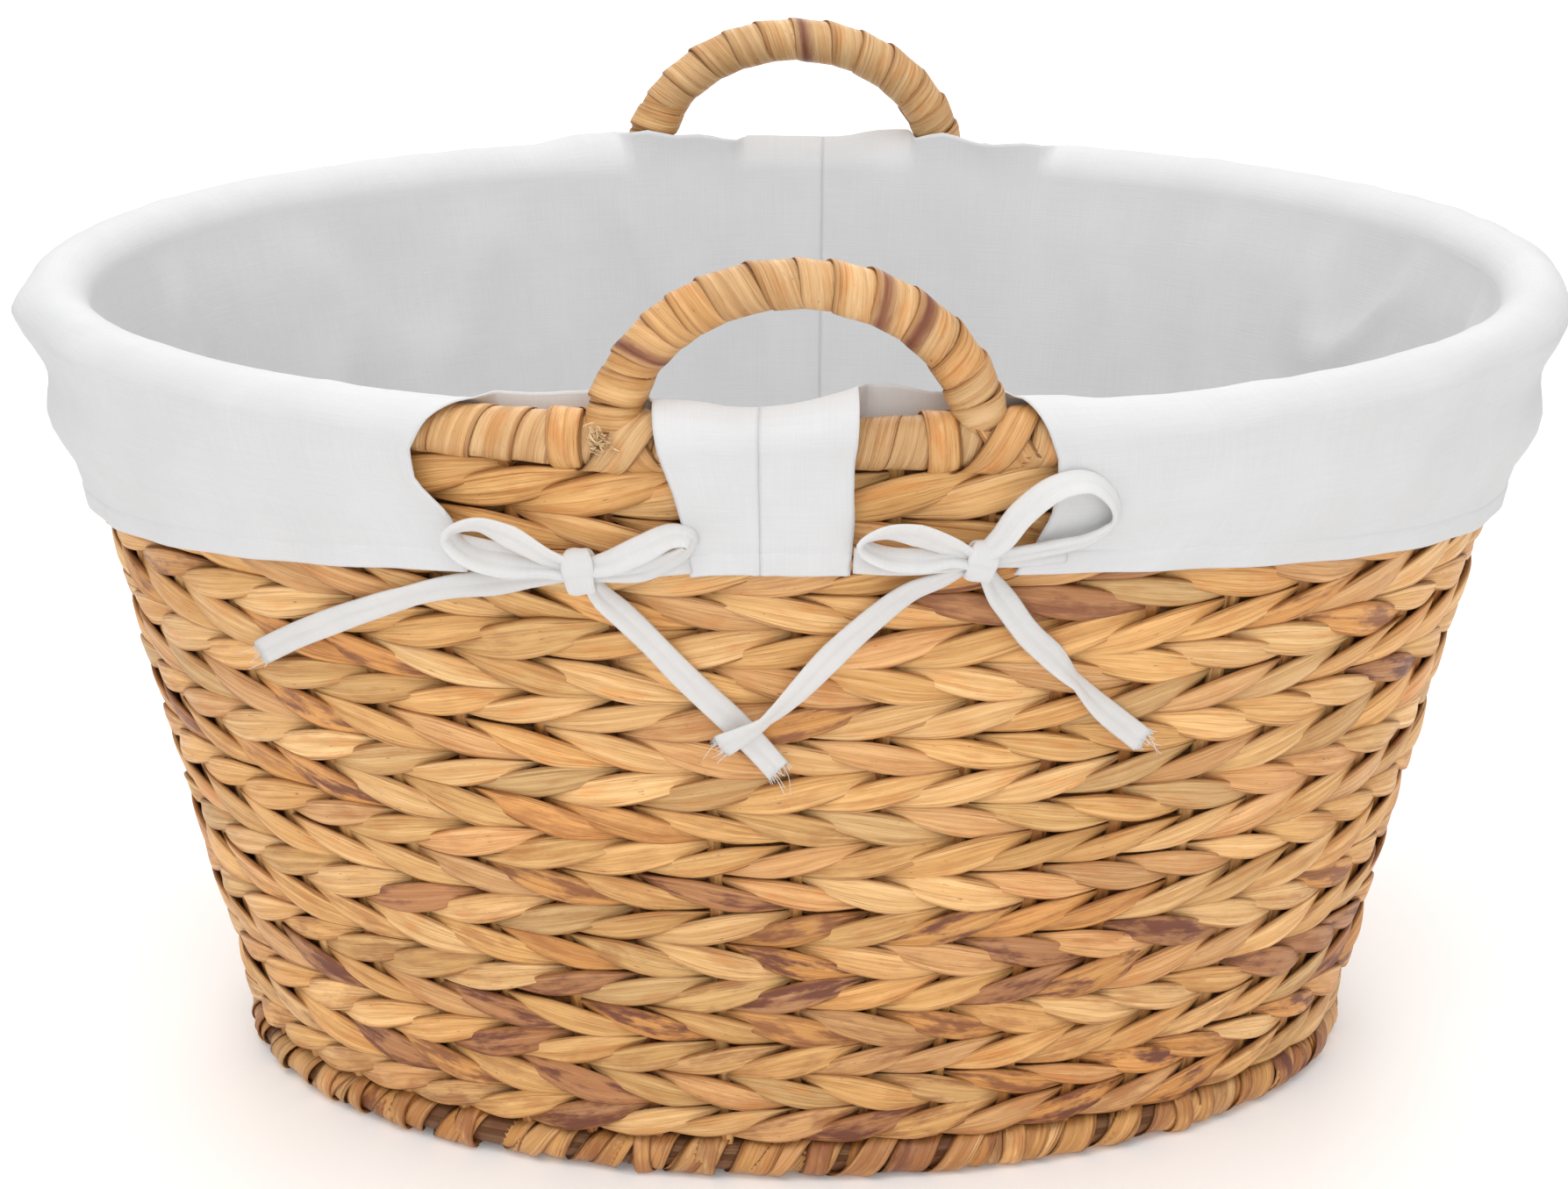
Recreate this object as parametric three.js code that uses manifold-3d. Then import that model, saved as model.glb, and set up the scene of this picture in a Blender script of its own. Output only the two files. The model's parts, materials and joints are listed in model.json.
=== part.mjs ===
// An oval twined basket with two wrapped handles and a removable cotton liner whose four bows tie round the handles.
// Millimetres, +Z up. The origin is the middle of the foot's underside, +X runs along the long side and -Y is the front.
import * as THREE from 'three';
import { mergeVertices } from 'three/addons/utils/BufferGeometryUtils.js';
import Module from 'manifold-3d';

const wasm = await Module();
wasm.setup();

// Driving dimensions. Half-lengths and half-widths are those of the wall's middle line.
const FLOOR_HALF_LENGTH = 195.3;
const FLOOR_HALF_WIDTH = 126;
const RIM_HALF_LENGTH = 260;
const RIM_HALF_WIDTH = 177;
const RIM_HEIGHT = 286;
const GAP = 0.3;

// The woven wall: stakes stand in it, and every row passes outside one stake and inside the next.
const STAKE_COUNT = 44;
const STAKE_WIDTH = 5;
const STAKE_THICKNESS = 1.4;
const ROW_COUNT = 19;
const ROWS_START = 16;
const ROWS_END = 274;
const ROW_THICKNESS = 4.4;
const ROW_SWING = 4.5;
const WALL_FACE = ROW_SWING + ROW_THICKNESS / 2;

// The foot and the floor.
const FOOT_HEIGHT = ROWS_START - GAP;
const FOOT_LEDGE = 5.7;
const FLOOR_THICKNESS = 4;
const FLOOR_UNDERSIDE = FOOT_LEDGE + GAP;
const FLOOR_TOP = FLOOR_UNDERSIDE + FLOOR_THICKNESS;
const HOOP_INSIDE = -5.2;

// The rim: a hoop that carries the stakes, inside a wrapped roll that is open below, where the stakes come in.
const HOOP_RADIUS = 5.5;
const ROLL_RADIUS = 9;
const ROLL_INNER_RADIUS = 6.1;

// The handles: each a bent rod in a wrapped sleeve, with its legs standing on the hoop.
const HANDLE_HALF_SPAN = 58.5;
const HANDLE_RISE = 51;
const HANDLE_ROD_RADIUS = 5;
const HANDLE_SLEEVE_RADIUS = 8;
const HANDLE_SLEEVE_BORE = 5.8;
const HANDLE_STEPS = 12;
const ROD_START = Math.asin(7 / HANDLE_RISE);
const SLEEVE_START = Math.asin(13 / HANDLE_RISE);
const BINDING_LENGTH = 26;
const BINDING_RADIUS = 11.6;
const BINDING_TOP_RADIUS = 10.6;
const BINDING_SLOT = 9;
const BINDING_SIDES = 10;
const BINDING_TOP = RIM_HEIGHT + 17;

// The liner: cloth inside the wall, over the rim and down the outside as a cuff.
const CLOTH = 1.1;
const LINER_BASE_UNDERSIDE = FLOOR_TOP + 0.4;
const LINER_START = LINER_BASE_UNDERSIDE + CLOTH + GAP;
const CLOTH_RADIUS = ROLL_RADIUS + 0.5;
const LINER_STAND_OFF = 8.2;
const HEM_STAND_OFF = 9;
const HEM_HEIGHT = 243;
const HEM_DROP_AT_ENDS = 28;
const HEM_FLARE_AT_ENDS = 1.5;
const SEAM_SHIFT = 12;
// The cuff is left open where a handle's leg stands. These are the openings' ends along X, at the front.
const FRONT_OPENINGS = [[-120, -43], [19, 81]];

// The ties: four bows, each of two cloth ties. A tie is sewn to the cuff or to the tab between the openings.
const TIE_DIAMETER = 4;
const BOW_THICKNESS = 6;
const BOW_STAND_OFF = 5;

// A tie's route, from its sewn end through the knot, round its loop, back through the knot and out to its frayed end.
// Each point is [x, z, distance from the wall's outer face], at the front. The tail is the stretch from the point
// numbered tailFrom. The back's ties are the front's, turned half a turn about Z.
const FRONT_TIES = {
  left_cuff_tie: {
    tailFrom: 12,
    route: [
      [-112, 248, 4.5], [-100, 246.5, 5], [-86, 245, 6], [-72, 244.5, 7.5], [-61, 247, 9], [-50, 253, 10],
      [-40, 258.5, 9.5], [-33.5, 257, 8.5], [-38, 250.5, 7.5], [-50, 244.5, 7.5], [-62, 243, 8.5],
      [-74, 241.5, 7.5], [-87, 238, 4.5], [-98, 235, 3.5], [-112, 231.5, 3], [-126, 226, 3], [-140, 219, 3],
      [-154, 211, 3], [-167, 202.5, 3], [-180, 192.5, 3],
    ],
  },
  left_tab_tie: {
    tailFrom: 12,
    route: [
      [-34, 248, 4.5], [-46, 246, 5], [-57, 244.5, 6], [-68, 244.5, 7.5], [-79, 248, 9], [-91, 255, 10],
      [-102, 258, 9.5], [-111, 253, 8.5], [-105, 246, 8], [-92, 243.5, 8], [-79, 243.5, 8.5],
      [-68, 241.5, 7.5], [-62, 233, 4.5], [-55, 226, 3.5], [-46, 216, 3], [-37, 205.5, 3], [-28, 196, 3],
      [-20, 187.5, 3], [-13, 179, 3], [-6, 170, 3],
    ],
  },
  right_tab_tie: {
    tailFrom: 14,
    route: [
      [18, 248.5, 4.5], [30, 248, 5], [43, 248, 6], [55, 248.5, 7.5], [64, 255, 9], [71, 265, 10],
      [81, 273, 10], [92, 274.5, 9.5], [100, 267.5, 9], [101, 259, 8.5], [92, 253, 8], [79, 251, 8],
      [67, 249.5, 8.5], [57, 247.5, 7.5], [47, 241, 4.5], [36, 236, 3.5], [25, 227, 3.5], [12, 214, 4],
      [-1, 199, 5.5], [-10, 190.5, 7.5], [-17, 185.5, 7.8], [-24, 181, 7.5],
    ],
  },
  right_cuff_tie: {
    tailFrom: 12,
    route: [
      [86, 249, 4.5], [77, 248, 5], [68, 247.5, 6], [58, 248.5, 7.5], [49, 254, 9], [38, 259, 10],
      [28, 260, 9.5], [20.5, 255.5, 8.5], [28, 250.5, 8], [40, 249, 8], [50, 249.5, 8.5],
      [58, 246.5, 7.5], [63, 237, 4.5], [68, 229, 3.5], [75, 218, 3], [83, 209, 3], [91, 199, 3],
      [98, 190, 3], [106, 181.5, 3], [115, 172.5, 3],
    ],
  },
};

// Each bow's knot and its outline of two loops: points [x, z] from the knot, round the right loop and then the left.
const FRONT_BOWS = {
  left_bow: {
    knot: [-69, 243.5],
    outline: [[0, 6.5], [12, 10], [30, 19], [37, 15], [26, 4], [8, -4.5], [0, -5],
      [-8, -3], [-26, -3], [-40, 5], [-42, 11], [-34, 17], [-20, 14]],
  },
  right_bow: {
    knot: [58.5, 248.5],
    outline: [[0, 6], [8, 12], [24, 28], [38, 29], [45, 18], [40, 5], [8, -4], [0, -5],
      [-8, -3.5], [-30, -3.5], [-39, 4], [-36, 11], [-22, 14]],
  },
};

const STRAW = '#c39a62';
const STRAW_LIGHT = '#cfa568';
const STRAW_DARK = '#9a7444';
const CANE = '#b98f5a';
const BOARD = '#a98658';
const COTTON = '#f1f0ee';

const basket = new THREE.Group();
basket.name = 'lined_basket';

// ---------------------------------------------------------------- shared shapes

function wallHalfLength(z) {
  return THREE.MathUtils.lerp(FLOOR_HALF_LENGTH, RIM_HALF_LENGTH, z / RIM_HEIGHT);
}

function wallHalfWidth(z) {
  return THREE.MathUtils.lerp(FLOOR_HALF_WIDTH, RIM_HALF_WIDTH, z / RIM_HEIGHT);
}

const middleOval = new THREE.EllipseCurve(0, 0, wallHalfLength(RIM_HEIGHT / 2), wallHalfWidth(RIM_HEIGHT / 2));
middleOval.arcLengthDivisions = 40 * STAKE_COUNT;

// The angle of a stake. The stakes are evenly spaced along the oval at half height.
function stationAngle(station) {
  const share = (station % STAKE_COUNT) / STAKE_COUNT;
  return 2 * Math.PI * middleOval.getUtoTmapping(share);
}

// The point at an angle and a height, that far outside the wall's middle line.
function wallPoint(angle, z, out = 0) {
  const x = (wallHalfLength(z) + out) * Math.cos(angle);
  const y = (wallHalfWidth(z) + out) * Math.sin(angle);
  return new THREE.Vector3(x, y, z);
}

// The wall's horizontal direction and its outward direction at an angle.
function wallDirections(angle, z) {
  const x = -wallHalfLength(z) * Math.sin(angle);
  const y = wallHalfWidth(z) * Math.cos(angle);
  const along = new THREE.Vector3(x, y, 0).normalize();
  const outward = new THREE.Vector3(along.y, -along.x, 0);
  return { along, outward };
}

// A closed ring that follows the wall, with one segment for each stake. The profile's points are [out, z], listed
// counter-clockwise. reshape may move a point by its station and angle.
function ovalRing(profile, reshape = (out, z) => [out, z]) {
  const lift = RIM_HALF_LENGTH;
  const points = [...profile, profile[0]].map(([out, z]) => new THREE.Vector2(lift + out, z));
  const geometry = new THREE.LatheGeometry(points, STAKE_COUNT);
  const position = geometry.attributes.position;
  for (let i = 0; i < position.count; i += 1) {
    const turn = Math.atan2(position.getX(i), position.getZ(i)) / (2 * Math.PI);
    const station = Math.round(turn * STAKE_COUNT + STAKE_COUNT) % STAKE_COUNT;
    const radius = Math.hypot(position.getX(i), position.getZ(i));
    const angle = stationAngle(station);
    const [out, z] = reshape(radius - lift, position.getY(i), station, angle);
    const point = wallPoint(angle, z, out);
    position.setXYZ(i, point.x, point.y, point.z);
  }
  return geometry;
}

// An oval plate that lies inside the wall, with its edge that far outside the wall's middle line.
function ovalPlate(out, underside, thickness) {
  const outline = new THREE.Shape();
  for (let station = 0; station < STAKE_COUNT; station += 1) {
    const point = wallPoint(stationAngle(station), underside, out);
    if (station === 0) outline.moveTo(point.x, point.y);
    else outline.lineTo(point.x, point.y);
  }
  const geometry = new THREE.ExtrudeGeometry(outline, { depth: thickness, bevelEnabled: false });
  return geometry.translate(0, 0, underside);
}

function toSolid(geometry) {
  const bare = geometry.clone();
  bare.deleteAttribute('normal');
  bare.deleteAttribute('uv');
  const merged = mergeVertices(bare, 1e-4);
  const vertProperties = new Float32Array(merged.attributes.position.array);
  const triVerts = new Uint32Array(merged.index.array);
  return new wasm.Manifold(new wasm.Mesh({ numProp: 3, vertProperties, triVerts }));
}

function toGeometry(solid) {
  const mesh = solid.getMesh();
  const geometry = new THREE.BufferGeometry();
  geometry.setAttribute('position', new THREE.BufferAttribute(new Float32Array(mesh.vertProperties), 3));
  geometry.setIndex(new THREE.BufferAttribute(new Uint32Array(mesh.triVerts), 1));
  return geometry;
}

function boxBetween(low, high) {
  const size = new THREE.Vector3().subVectors(high, low);
  const middle = new THREE.Vector3().addVectors(low, high).multiplyScalar(0.5);
  return new THREE.BoxGeometry(size.x, size.y, size.z).translate(middle.x, middle.y, middle.z);
}

function addPart(name, geometry, color, roughness = 0.75) {
  const material = new THREE.MeshStandardMaterial({ color, roughness, metalness: 0, flatShading: true });
  const mesh = new THREE.Mesh(geometry, material);
  mesh.name = name;
  basket.add(mesh);
  return mesh;
}

// ---------------------------------------------------------------- foot and floor

// The foot border stands on the ground, and the stakes end on its ledge.
function makeFootBorder() {
  const profile = [
    [-6, 0], [7, 0], [8.7, 8], [6.5, FOOT_HEIGHT], [1.6, FOOT_HEIGHT], [1.6, FOOT_LEDGE], [-6, FOOT_LEDGE],
  ];
  addPart('foot_border', ovalRing(profile), STRAW_DARK, 0.85);
}

function makeBaseHoop() {
  const outside = -STAKE_THICKNESS / 2 - GAP;
  const profile = [
    [HOOP_INSIDE, FLOOR_UNDERSIDE], [outside, FLOOR_UNDERSIDE], [outside, FLOOR_TOP], [HOOP_INSIDE, FLOOR_TOP],
  ];
  addPart('base_hoop', ovalRing(profile), CANE, 0.7);
}

function makeBasePanel() {
  addPart('base_panel', ovalPlate(HOOP_INSIDE - GAP, FLOOR_UNDERSIDE, FLOOR_THICKNESS), BOARD, 0.8);
}

// ---------------------------------------------------------------- wall

// One flat stake, from the foot's ledge to the middle of the rim hoop.
function stake(station) {
  const angle = stationAngle(station);
  const { along, outward } = wallDirections(angle, RIM_HEIGHT / 2);
  const geometry = new THREE.BoxGeometry(STAKE_WIDTH, STAKE_THICKNESS, 1);
  const position = geometry.attributes.position;
  for (let i = 0; i < position.count; i += 1) {
    const z = position.getZ(i) < 0 ? FLOOR_UNDERSIDE : RIM_HEIGHT;
    const point = wallPoint(angle, z);
    point.addScaledVector(along, position.getX(i));
    point.addScaledVector(outward, -position.getY(i));
    position.setXYZ(i, point.x, point.y, point.z);
  }
  return geometry;
}

// Points of a circle about the rim's middle line, as a ring's profile, at these angles in degrees.
function rimCircle(radius, degrees) {
  return degrees.map((degree) => {
    const angle = THREE.MathUtils.degToRad(degree);
    return [radius * Math.cos(angle), RIM_HEIGHT + radius * Math.sin(angle)];
  });
}

function makeStakeCage() {
  let cage = toSolid(ovalRing(rimCircle(HOOP_RADIUS, [0, 60, 120, 180, 240, 300])));
  for (let station = 0; station < STAKE_COUNT; station += 1) {
    cage = cage.add(toSolid(stake(station)));
  }
  addPart('stake_cage', toGeometry(cage), CANE, 0.7);
}

function makeWeaveRows() {
  const pitch = (ROWS_END - ROWS_START) / ROW_COUNT;
  const half = ROW_THICKNESS / 2;
  for (let row = 0; row < ROW_COUNT; row += 1) {
    const low = ROWS_START + row * pitch;
    const high = low + pitch - GAP;
    const swing = (out, z, station) => [out + ((station + row) % 2 === 0 ? ROW_SWING : -ROW_SWING), z];
    const geometry = ovalRing([[-half, low], [half, low], [half, high], [-half, high]], swing);
    const name = `weave_row_${String(row + 1).padStart(2, '0')}`;
    addPart(name, geometry, row % 2 === 0 ? STRAW : STRAW_LIGHT, 0.78);
  }
}

// ---------------------------------------------------------------- handles

class Arch extends THREE.Curve {
  constructor(start) {
    super();
    this.start = start;
  }

  getPoint(t) {
    const angle = THREE.MathUtils.lerp(this.start, Math.PI - this.start, t);
    const x = HANDLE_HALF_SPAN * Math.cos(angle);
    const z = RIM_HEIGHT + HANDLE_RISE * Math.sin(angle);
    return new THREE.Vector3(x, 0, z);
  }
}

const legAngle = Math.acos(HANDLE_HALF_SPAN / RIM_HALF_LENGTH);
const HANDLE_Y = RIM_HALF_WIDTH * Math.sin(legAngle);

// A tube along a handle's arch, in the XZ plane; with no bore it is a rod.
function archTube(radius, bore, start) {
  const section = new THREE.Shape().absarc(0, 0, radius, 0, 2 * Math.PI, false);
  if (bore > 0) section.holes.push(new THREE.Path().absarc(0, 0, bore, 0, 2 * Math.PI, true));
  return new THREE.ExtrudeGeometry(section, { steps: HANDLE_STEPS, curveSegments: 4, extrudePath: new Arch(start) });
}

function makeHandles() {
  for (const [side, y] of [['front', -HANDLE_Y], ['back', HANDLE_Y]]) {
    const rod = addPart(`handle_core_${side}`, archTube(HANDLE_ROD_RADIUS, 0, ROD_START), CANE, 0.6);
    rod.position.y = y;
    const sleeve = archTube(HANDLE_SLEEVE_RADIUS, HANDLE_SLEEVE_BORE, SLEEVE_START);
    addPart(`handle_wrap_${side}`, sleeve, STRAW_LIGHT, 0.6).position.y = y;
  }
}

// ---------------------------------------------------------------- rim

// The wrapped roll round the hoop. Its slot lets the stakes in, and four holes let the handles' rods in.
function makeRimWrap() {
  const outer = rimCircle(ROLL_RADIUS, [-78, 0, 45, 90, 135, 180, 258]);
  const inner = rimCircle(ROLL_INNER_RADIUS, [247, 180, 120, 60, 0, -67]);
  let roll = toSolid(ovalRing([...outer, ...inner]));
  for (const y of [-HANDLE_Y, HANDLE_Y]) {
    const passage = archTube(HANDLE_SLEEVE_BORE, 0, 0).translate(0, y, 0);
    const above = boxBetween(
      new THREE.Vector3(-RIM_HALF_LENGTH, -RIM_HALF_LENGTH, RIM_HEIGHT),
      new THREE.Vector3(RIM_HALF_LENGTH, RIM_HALF_LENGTH, 2 * RIM_HEIGHT),
    );
    roll = roll.subtract(toSolid(passage).intersect(toSolid(above)));
  }
  addPart('rim_wrap', toGeometry(roll), STRAW, 0.7);
}

// A binding lashes a handle's leg to the rim: a saddle over the roll with a short collar round the leg.
function footBinding(xSide, ySide) {
  const clearance = 0.6;
  const angle = Math.atan2(ySide * Math.sin(legAngle), xSide * Math.cos(legAngle));
  const { along } = wallDirections(angle, RIM_HEIGHT);
  const heading = Math.atan2(along.y, along.x);
  const place = wallPoint(angle, RIM_HEIGHT);
  const saddle = new THREE.CylinderGeometry(BINDING_RADIUS, BINDING_RADIUS, BINDING_LENGTH, BINDING_SIDES)
    .rotateZ(Math.PI / 2)
    .rotateZ(heading)
    .translate(place.x, place.y, RIM_HEIGHT);
  const collarHeight = BINDING_TOP - RIM_HEIGHT;
  const collar = new THREE.CylinderGeometry(BINDING_TOP_RADIUS, BINDING_RADIUS, collarHeight, BINDING_SIDES)
    .rotateX(Math.PI / 2)
    .translate(place.x, place.y, RIM_HEIGHT + collarHeight / 2);
  const slot = new THREE.BoxGeometry(2 * BINDING_LENGTH, BINDING_SLOT, BINDING_RADIUS)
    .rotateZ(heading)
    .translate(place.x, place.y, RIM_HEIGHT - BINDING_RADIUS);
  const leg = archTube(HANDLE_SLEEVE_RADIUS + clearance, 0, 0).translate(0, ySide * HANDLE_Y, 0);
  const roll = ovalRing(rimCircle(ROLL_RADIUS + clearance, [-78, 0, 45, 90, 135, 180, 258]));
  return toSolid(saddle)
    .add(toSolid(collar))
    .subtract(toSolid(roll))
    .subtract(toSolid(leg))
    .subtract(toSolid(slot));
}

function makeFootBindings() {
  for (const [side, ySide] of [['front', -1], ['back', 1]]) {
    for (const [hand, xSide] of [['left', -1], ['right', 1]]) {
      addPart(`handle_binding_${side}_${hand}`, toGeometry(footBinding(xSide, ySide)), STRAW, 0.65);
    }
  }
}

// ---------------------------------------------------------------- liner

// The liner's cloth as one ring: up the inside of the wall, over the roll, and down the outside to the hem.
function linerRing() {
  const over = [180, 135, 90, 45, 0];
  const wallSide = [[-LINER_STAND_OFF, LINER_START], ...rimCircle(CLOTH_RADIUS, over), [HEM_STAND_OFF, HEM_HEIGHT]];
  const faceSide = [
    [HEM_STAND_OFF + CLOTH, HEM_HEIGHT], ...rimCircle(CLOTH_RADIUS + CLOTH, over.toReversed()),
    [-LINER_STAND_OFF - CLOTH, LINER_START],
  ];
  const hang = (out, z, station, angle) => {
    const share = Math.abs(z - HEM_HEIGHT) < 1 ? Math.cos(angle) ** 2 : 0;
    return [out + share * HEM_FLARE_AT_ENDS, z - share * HEM_DROP_AT_ENDS];
  };
  return toSolid(ovalRing([...wallSide, ...faceSide], hang));
}

// What is cut from the front of the liner: the openings in the cuff, and a notch behind each handle's leg.
function frontCutter() {
  const low = HEM_HEIGHT - 20;
  const high = RIM_HEIGHT + 20;
  const overRoll = -4;
  const outsideWall = 7.4;
  const clear = 20;
  const shelf = RIM_HEIGHT + 2;
  const slab = ([from, to]) => toSolid(boxBetween(
    new THREE.Vector3(from, -2 * RIM_HALF_WIDTH, 0),
    new THREE.Vector3(to, 0, 2 * RIM_HEIGHT),
  ));
  const cuffSide = toSolid(ovalRing([
    [overRoll, shelf], [outsideWall, shelf], [outsideWall, low], [clear, low], [clear, high], [overRoll, high],
  ]));
  const [left, right] = FRONT_OPENINGS.map((opening) => cuffSide.intersect(slab(opening)));
  const notchLow = RIM_HEIGHT - 9;
  const notchInside = -14;
  const notchOutside = 10;
  const notchRing = toSolid(ovalRing([
    [notchInside, notchLow], [notchOutside, notchLow], [notchOutside, high], [notchInside, high],
  ]));
  const reach = BINDING_LENGTH / 2 + 3;
  const notches = [-HANDLE_HALF_SPAN, HANDLE_HALF_SPAN]
    .map((x) => notchRing.intersect(slab([x - reach, x + reach])));
  return left.add(right).add(notches[0]).add(notches[1]);
}

function makeLiner() {
  const front = frontCutter();
  const whole = linerRing().subtract(front).subtract(front.rotate([0, 0, 180]));
  const reach = 2 * RIM_HALF_LENGTH;
  const seamAngle = -Math.atan2(SEAM_SHIFT, RIM_HALF_WIDTH);
  const halfSpace = toSolid(boxBetween(
    new THREE.Vector3(GAP / 2, -reach, -1),
    new THREE.Vector3(reach, reach, 2 * RIM_HEIGHT),
  ).rotateZ(seamAngle));
  addPart('liner_right_panel', toGeometry(whole.intersect(halfSpace)), COTTON, 0.95);
  addPart('liner_left_panel', toGeometry(whole.intersect(halfSpace.rotate([0, 0, 180]))), COTTON, 0.95);
  const edge = -LINER_STAND_OFF - CLOTH - GAP;
  addPart('liner_base_panel', ovalPlate(edge, LINER_BASE_UNDERSIDE, CLOTH), COTTON, 0.95);
}

// ---------------------------------------------------------------- ties

// The place of a route point on the front of the basket.
function frontPoint([x, z, distance]) {
  const out = WALL_FACE + distance;
  const y = -(wallHalfWidth(z) + out) * Math.sqrt(1 - (x / (wallHalfLength(z) + out)) ** 2);
  return new THREE.Vector3(x, y, z);
}

// A bow's knot and loops, as one flat solid that stands just off the cloth.
function bowSolid({ knot, outline }) {
  const shape = new THREE.Shape();
  const [first, ...rest] = outline.map(([x, z]) => new THREE.Vector2(x, z));
  shape.moveTo(first.x, first.y);
  shape.splineThru([...rest, first]);
  const [x, z] = knot;
  const middle = frontPoint([x, z, BOW_STAND_OFF]);
  const across = frontPoint([x + 1, z, BOW_STAND_OFF]).sub(middle);
  const upward = frontPoint([x, z + 1, BOW_STAND_OFF]).sub(middle);
  const geometry = new THREE.ExtrudeGeometry(shape, { depth: BOW_THICKNESS, bevelEnabled: false, curveSegments: 1 });
  return geometry
    .rotateX(Math.atan2(upward.z, upward.y))
    .rotateZ(Math.atan2(across.y, across.x))
    .translate(middle.x, middle.y, middle.z);
}

function tieTail({ route, tailFrom }) {
  const path = new THREE.CatmullRomCurve3(route.slice(tailFrom).map(frontPoint));
  const section = new THREE.Shape().absarc(0, 0, TIE_DIAMETER / 2, 0, 2 * Math.PI, false);
  const steps = Math.round(path.getLength() / (3 * TIE_DIAMETER));
  return new THREE.ExtrudeGeometry(section, { steps, curveSegments: 4, extrudePath: path });
}

function makeTies() {
  for (const [side, turn] of [['front', 0], ['back', Math.PI]]) {
    for (const [name, bow] of Object.entries(FRONT_BOWS)) {
      addPart(`${side}_${name}`, bowSolid(bow), COTTON, 0.95).rotation.z = turn;
    }
    for (const [name, tie] of Object.entries(FRONT_TIES)) {
      addPart(`${side}_${name}`, tieTail(tie), COTTON, 0.95).rotation.z = turn;
    }
  }
}

makeFootBorder();
makeBaseHoop();
makeBasePanel();
makeStakeCage();
makeWeaveRows();
makeRimWrap();
makeHandles();
makeFootBindings();
makeLiner();
makeTies();

export default basket;
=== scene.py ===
"""An oval basket twined from leaf strands, with two wound handles and a white cotton liner tied on with bows.

Metres, +Z up. The origin is the middle of the foot's underside, +X runs along the long side and -Y is the
front. A place on the wall is a station (0 to 44, one for each stake, counter-clockwise from +X), a height and
a distance outside the wall's middle line.
"""

import json
import math

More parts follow.
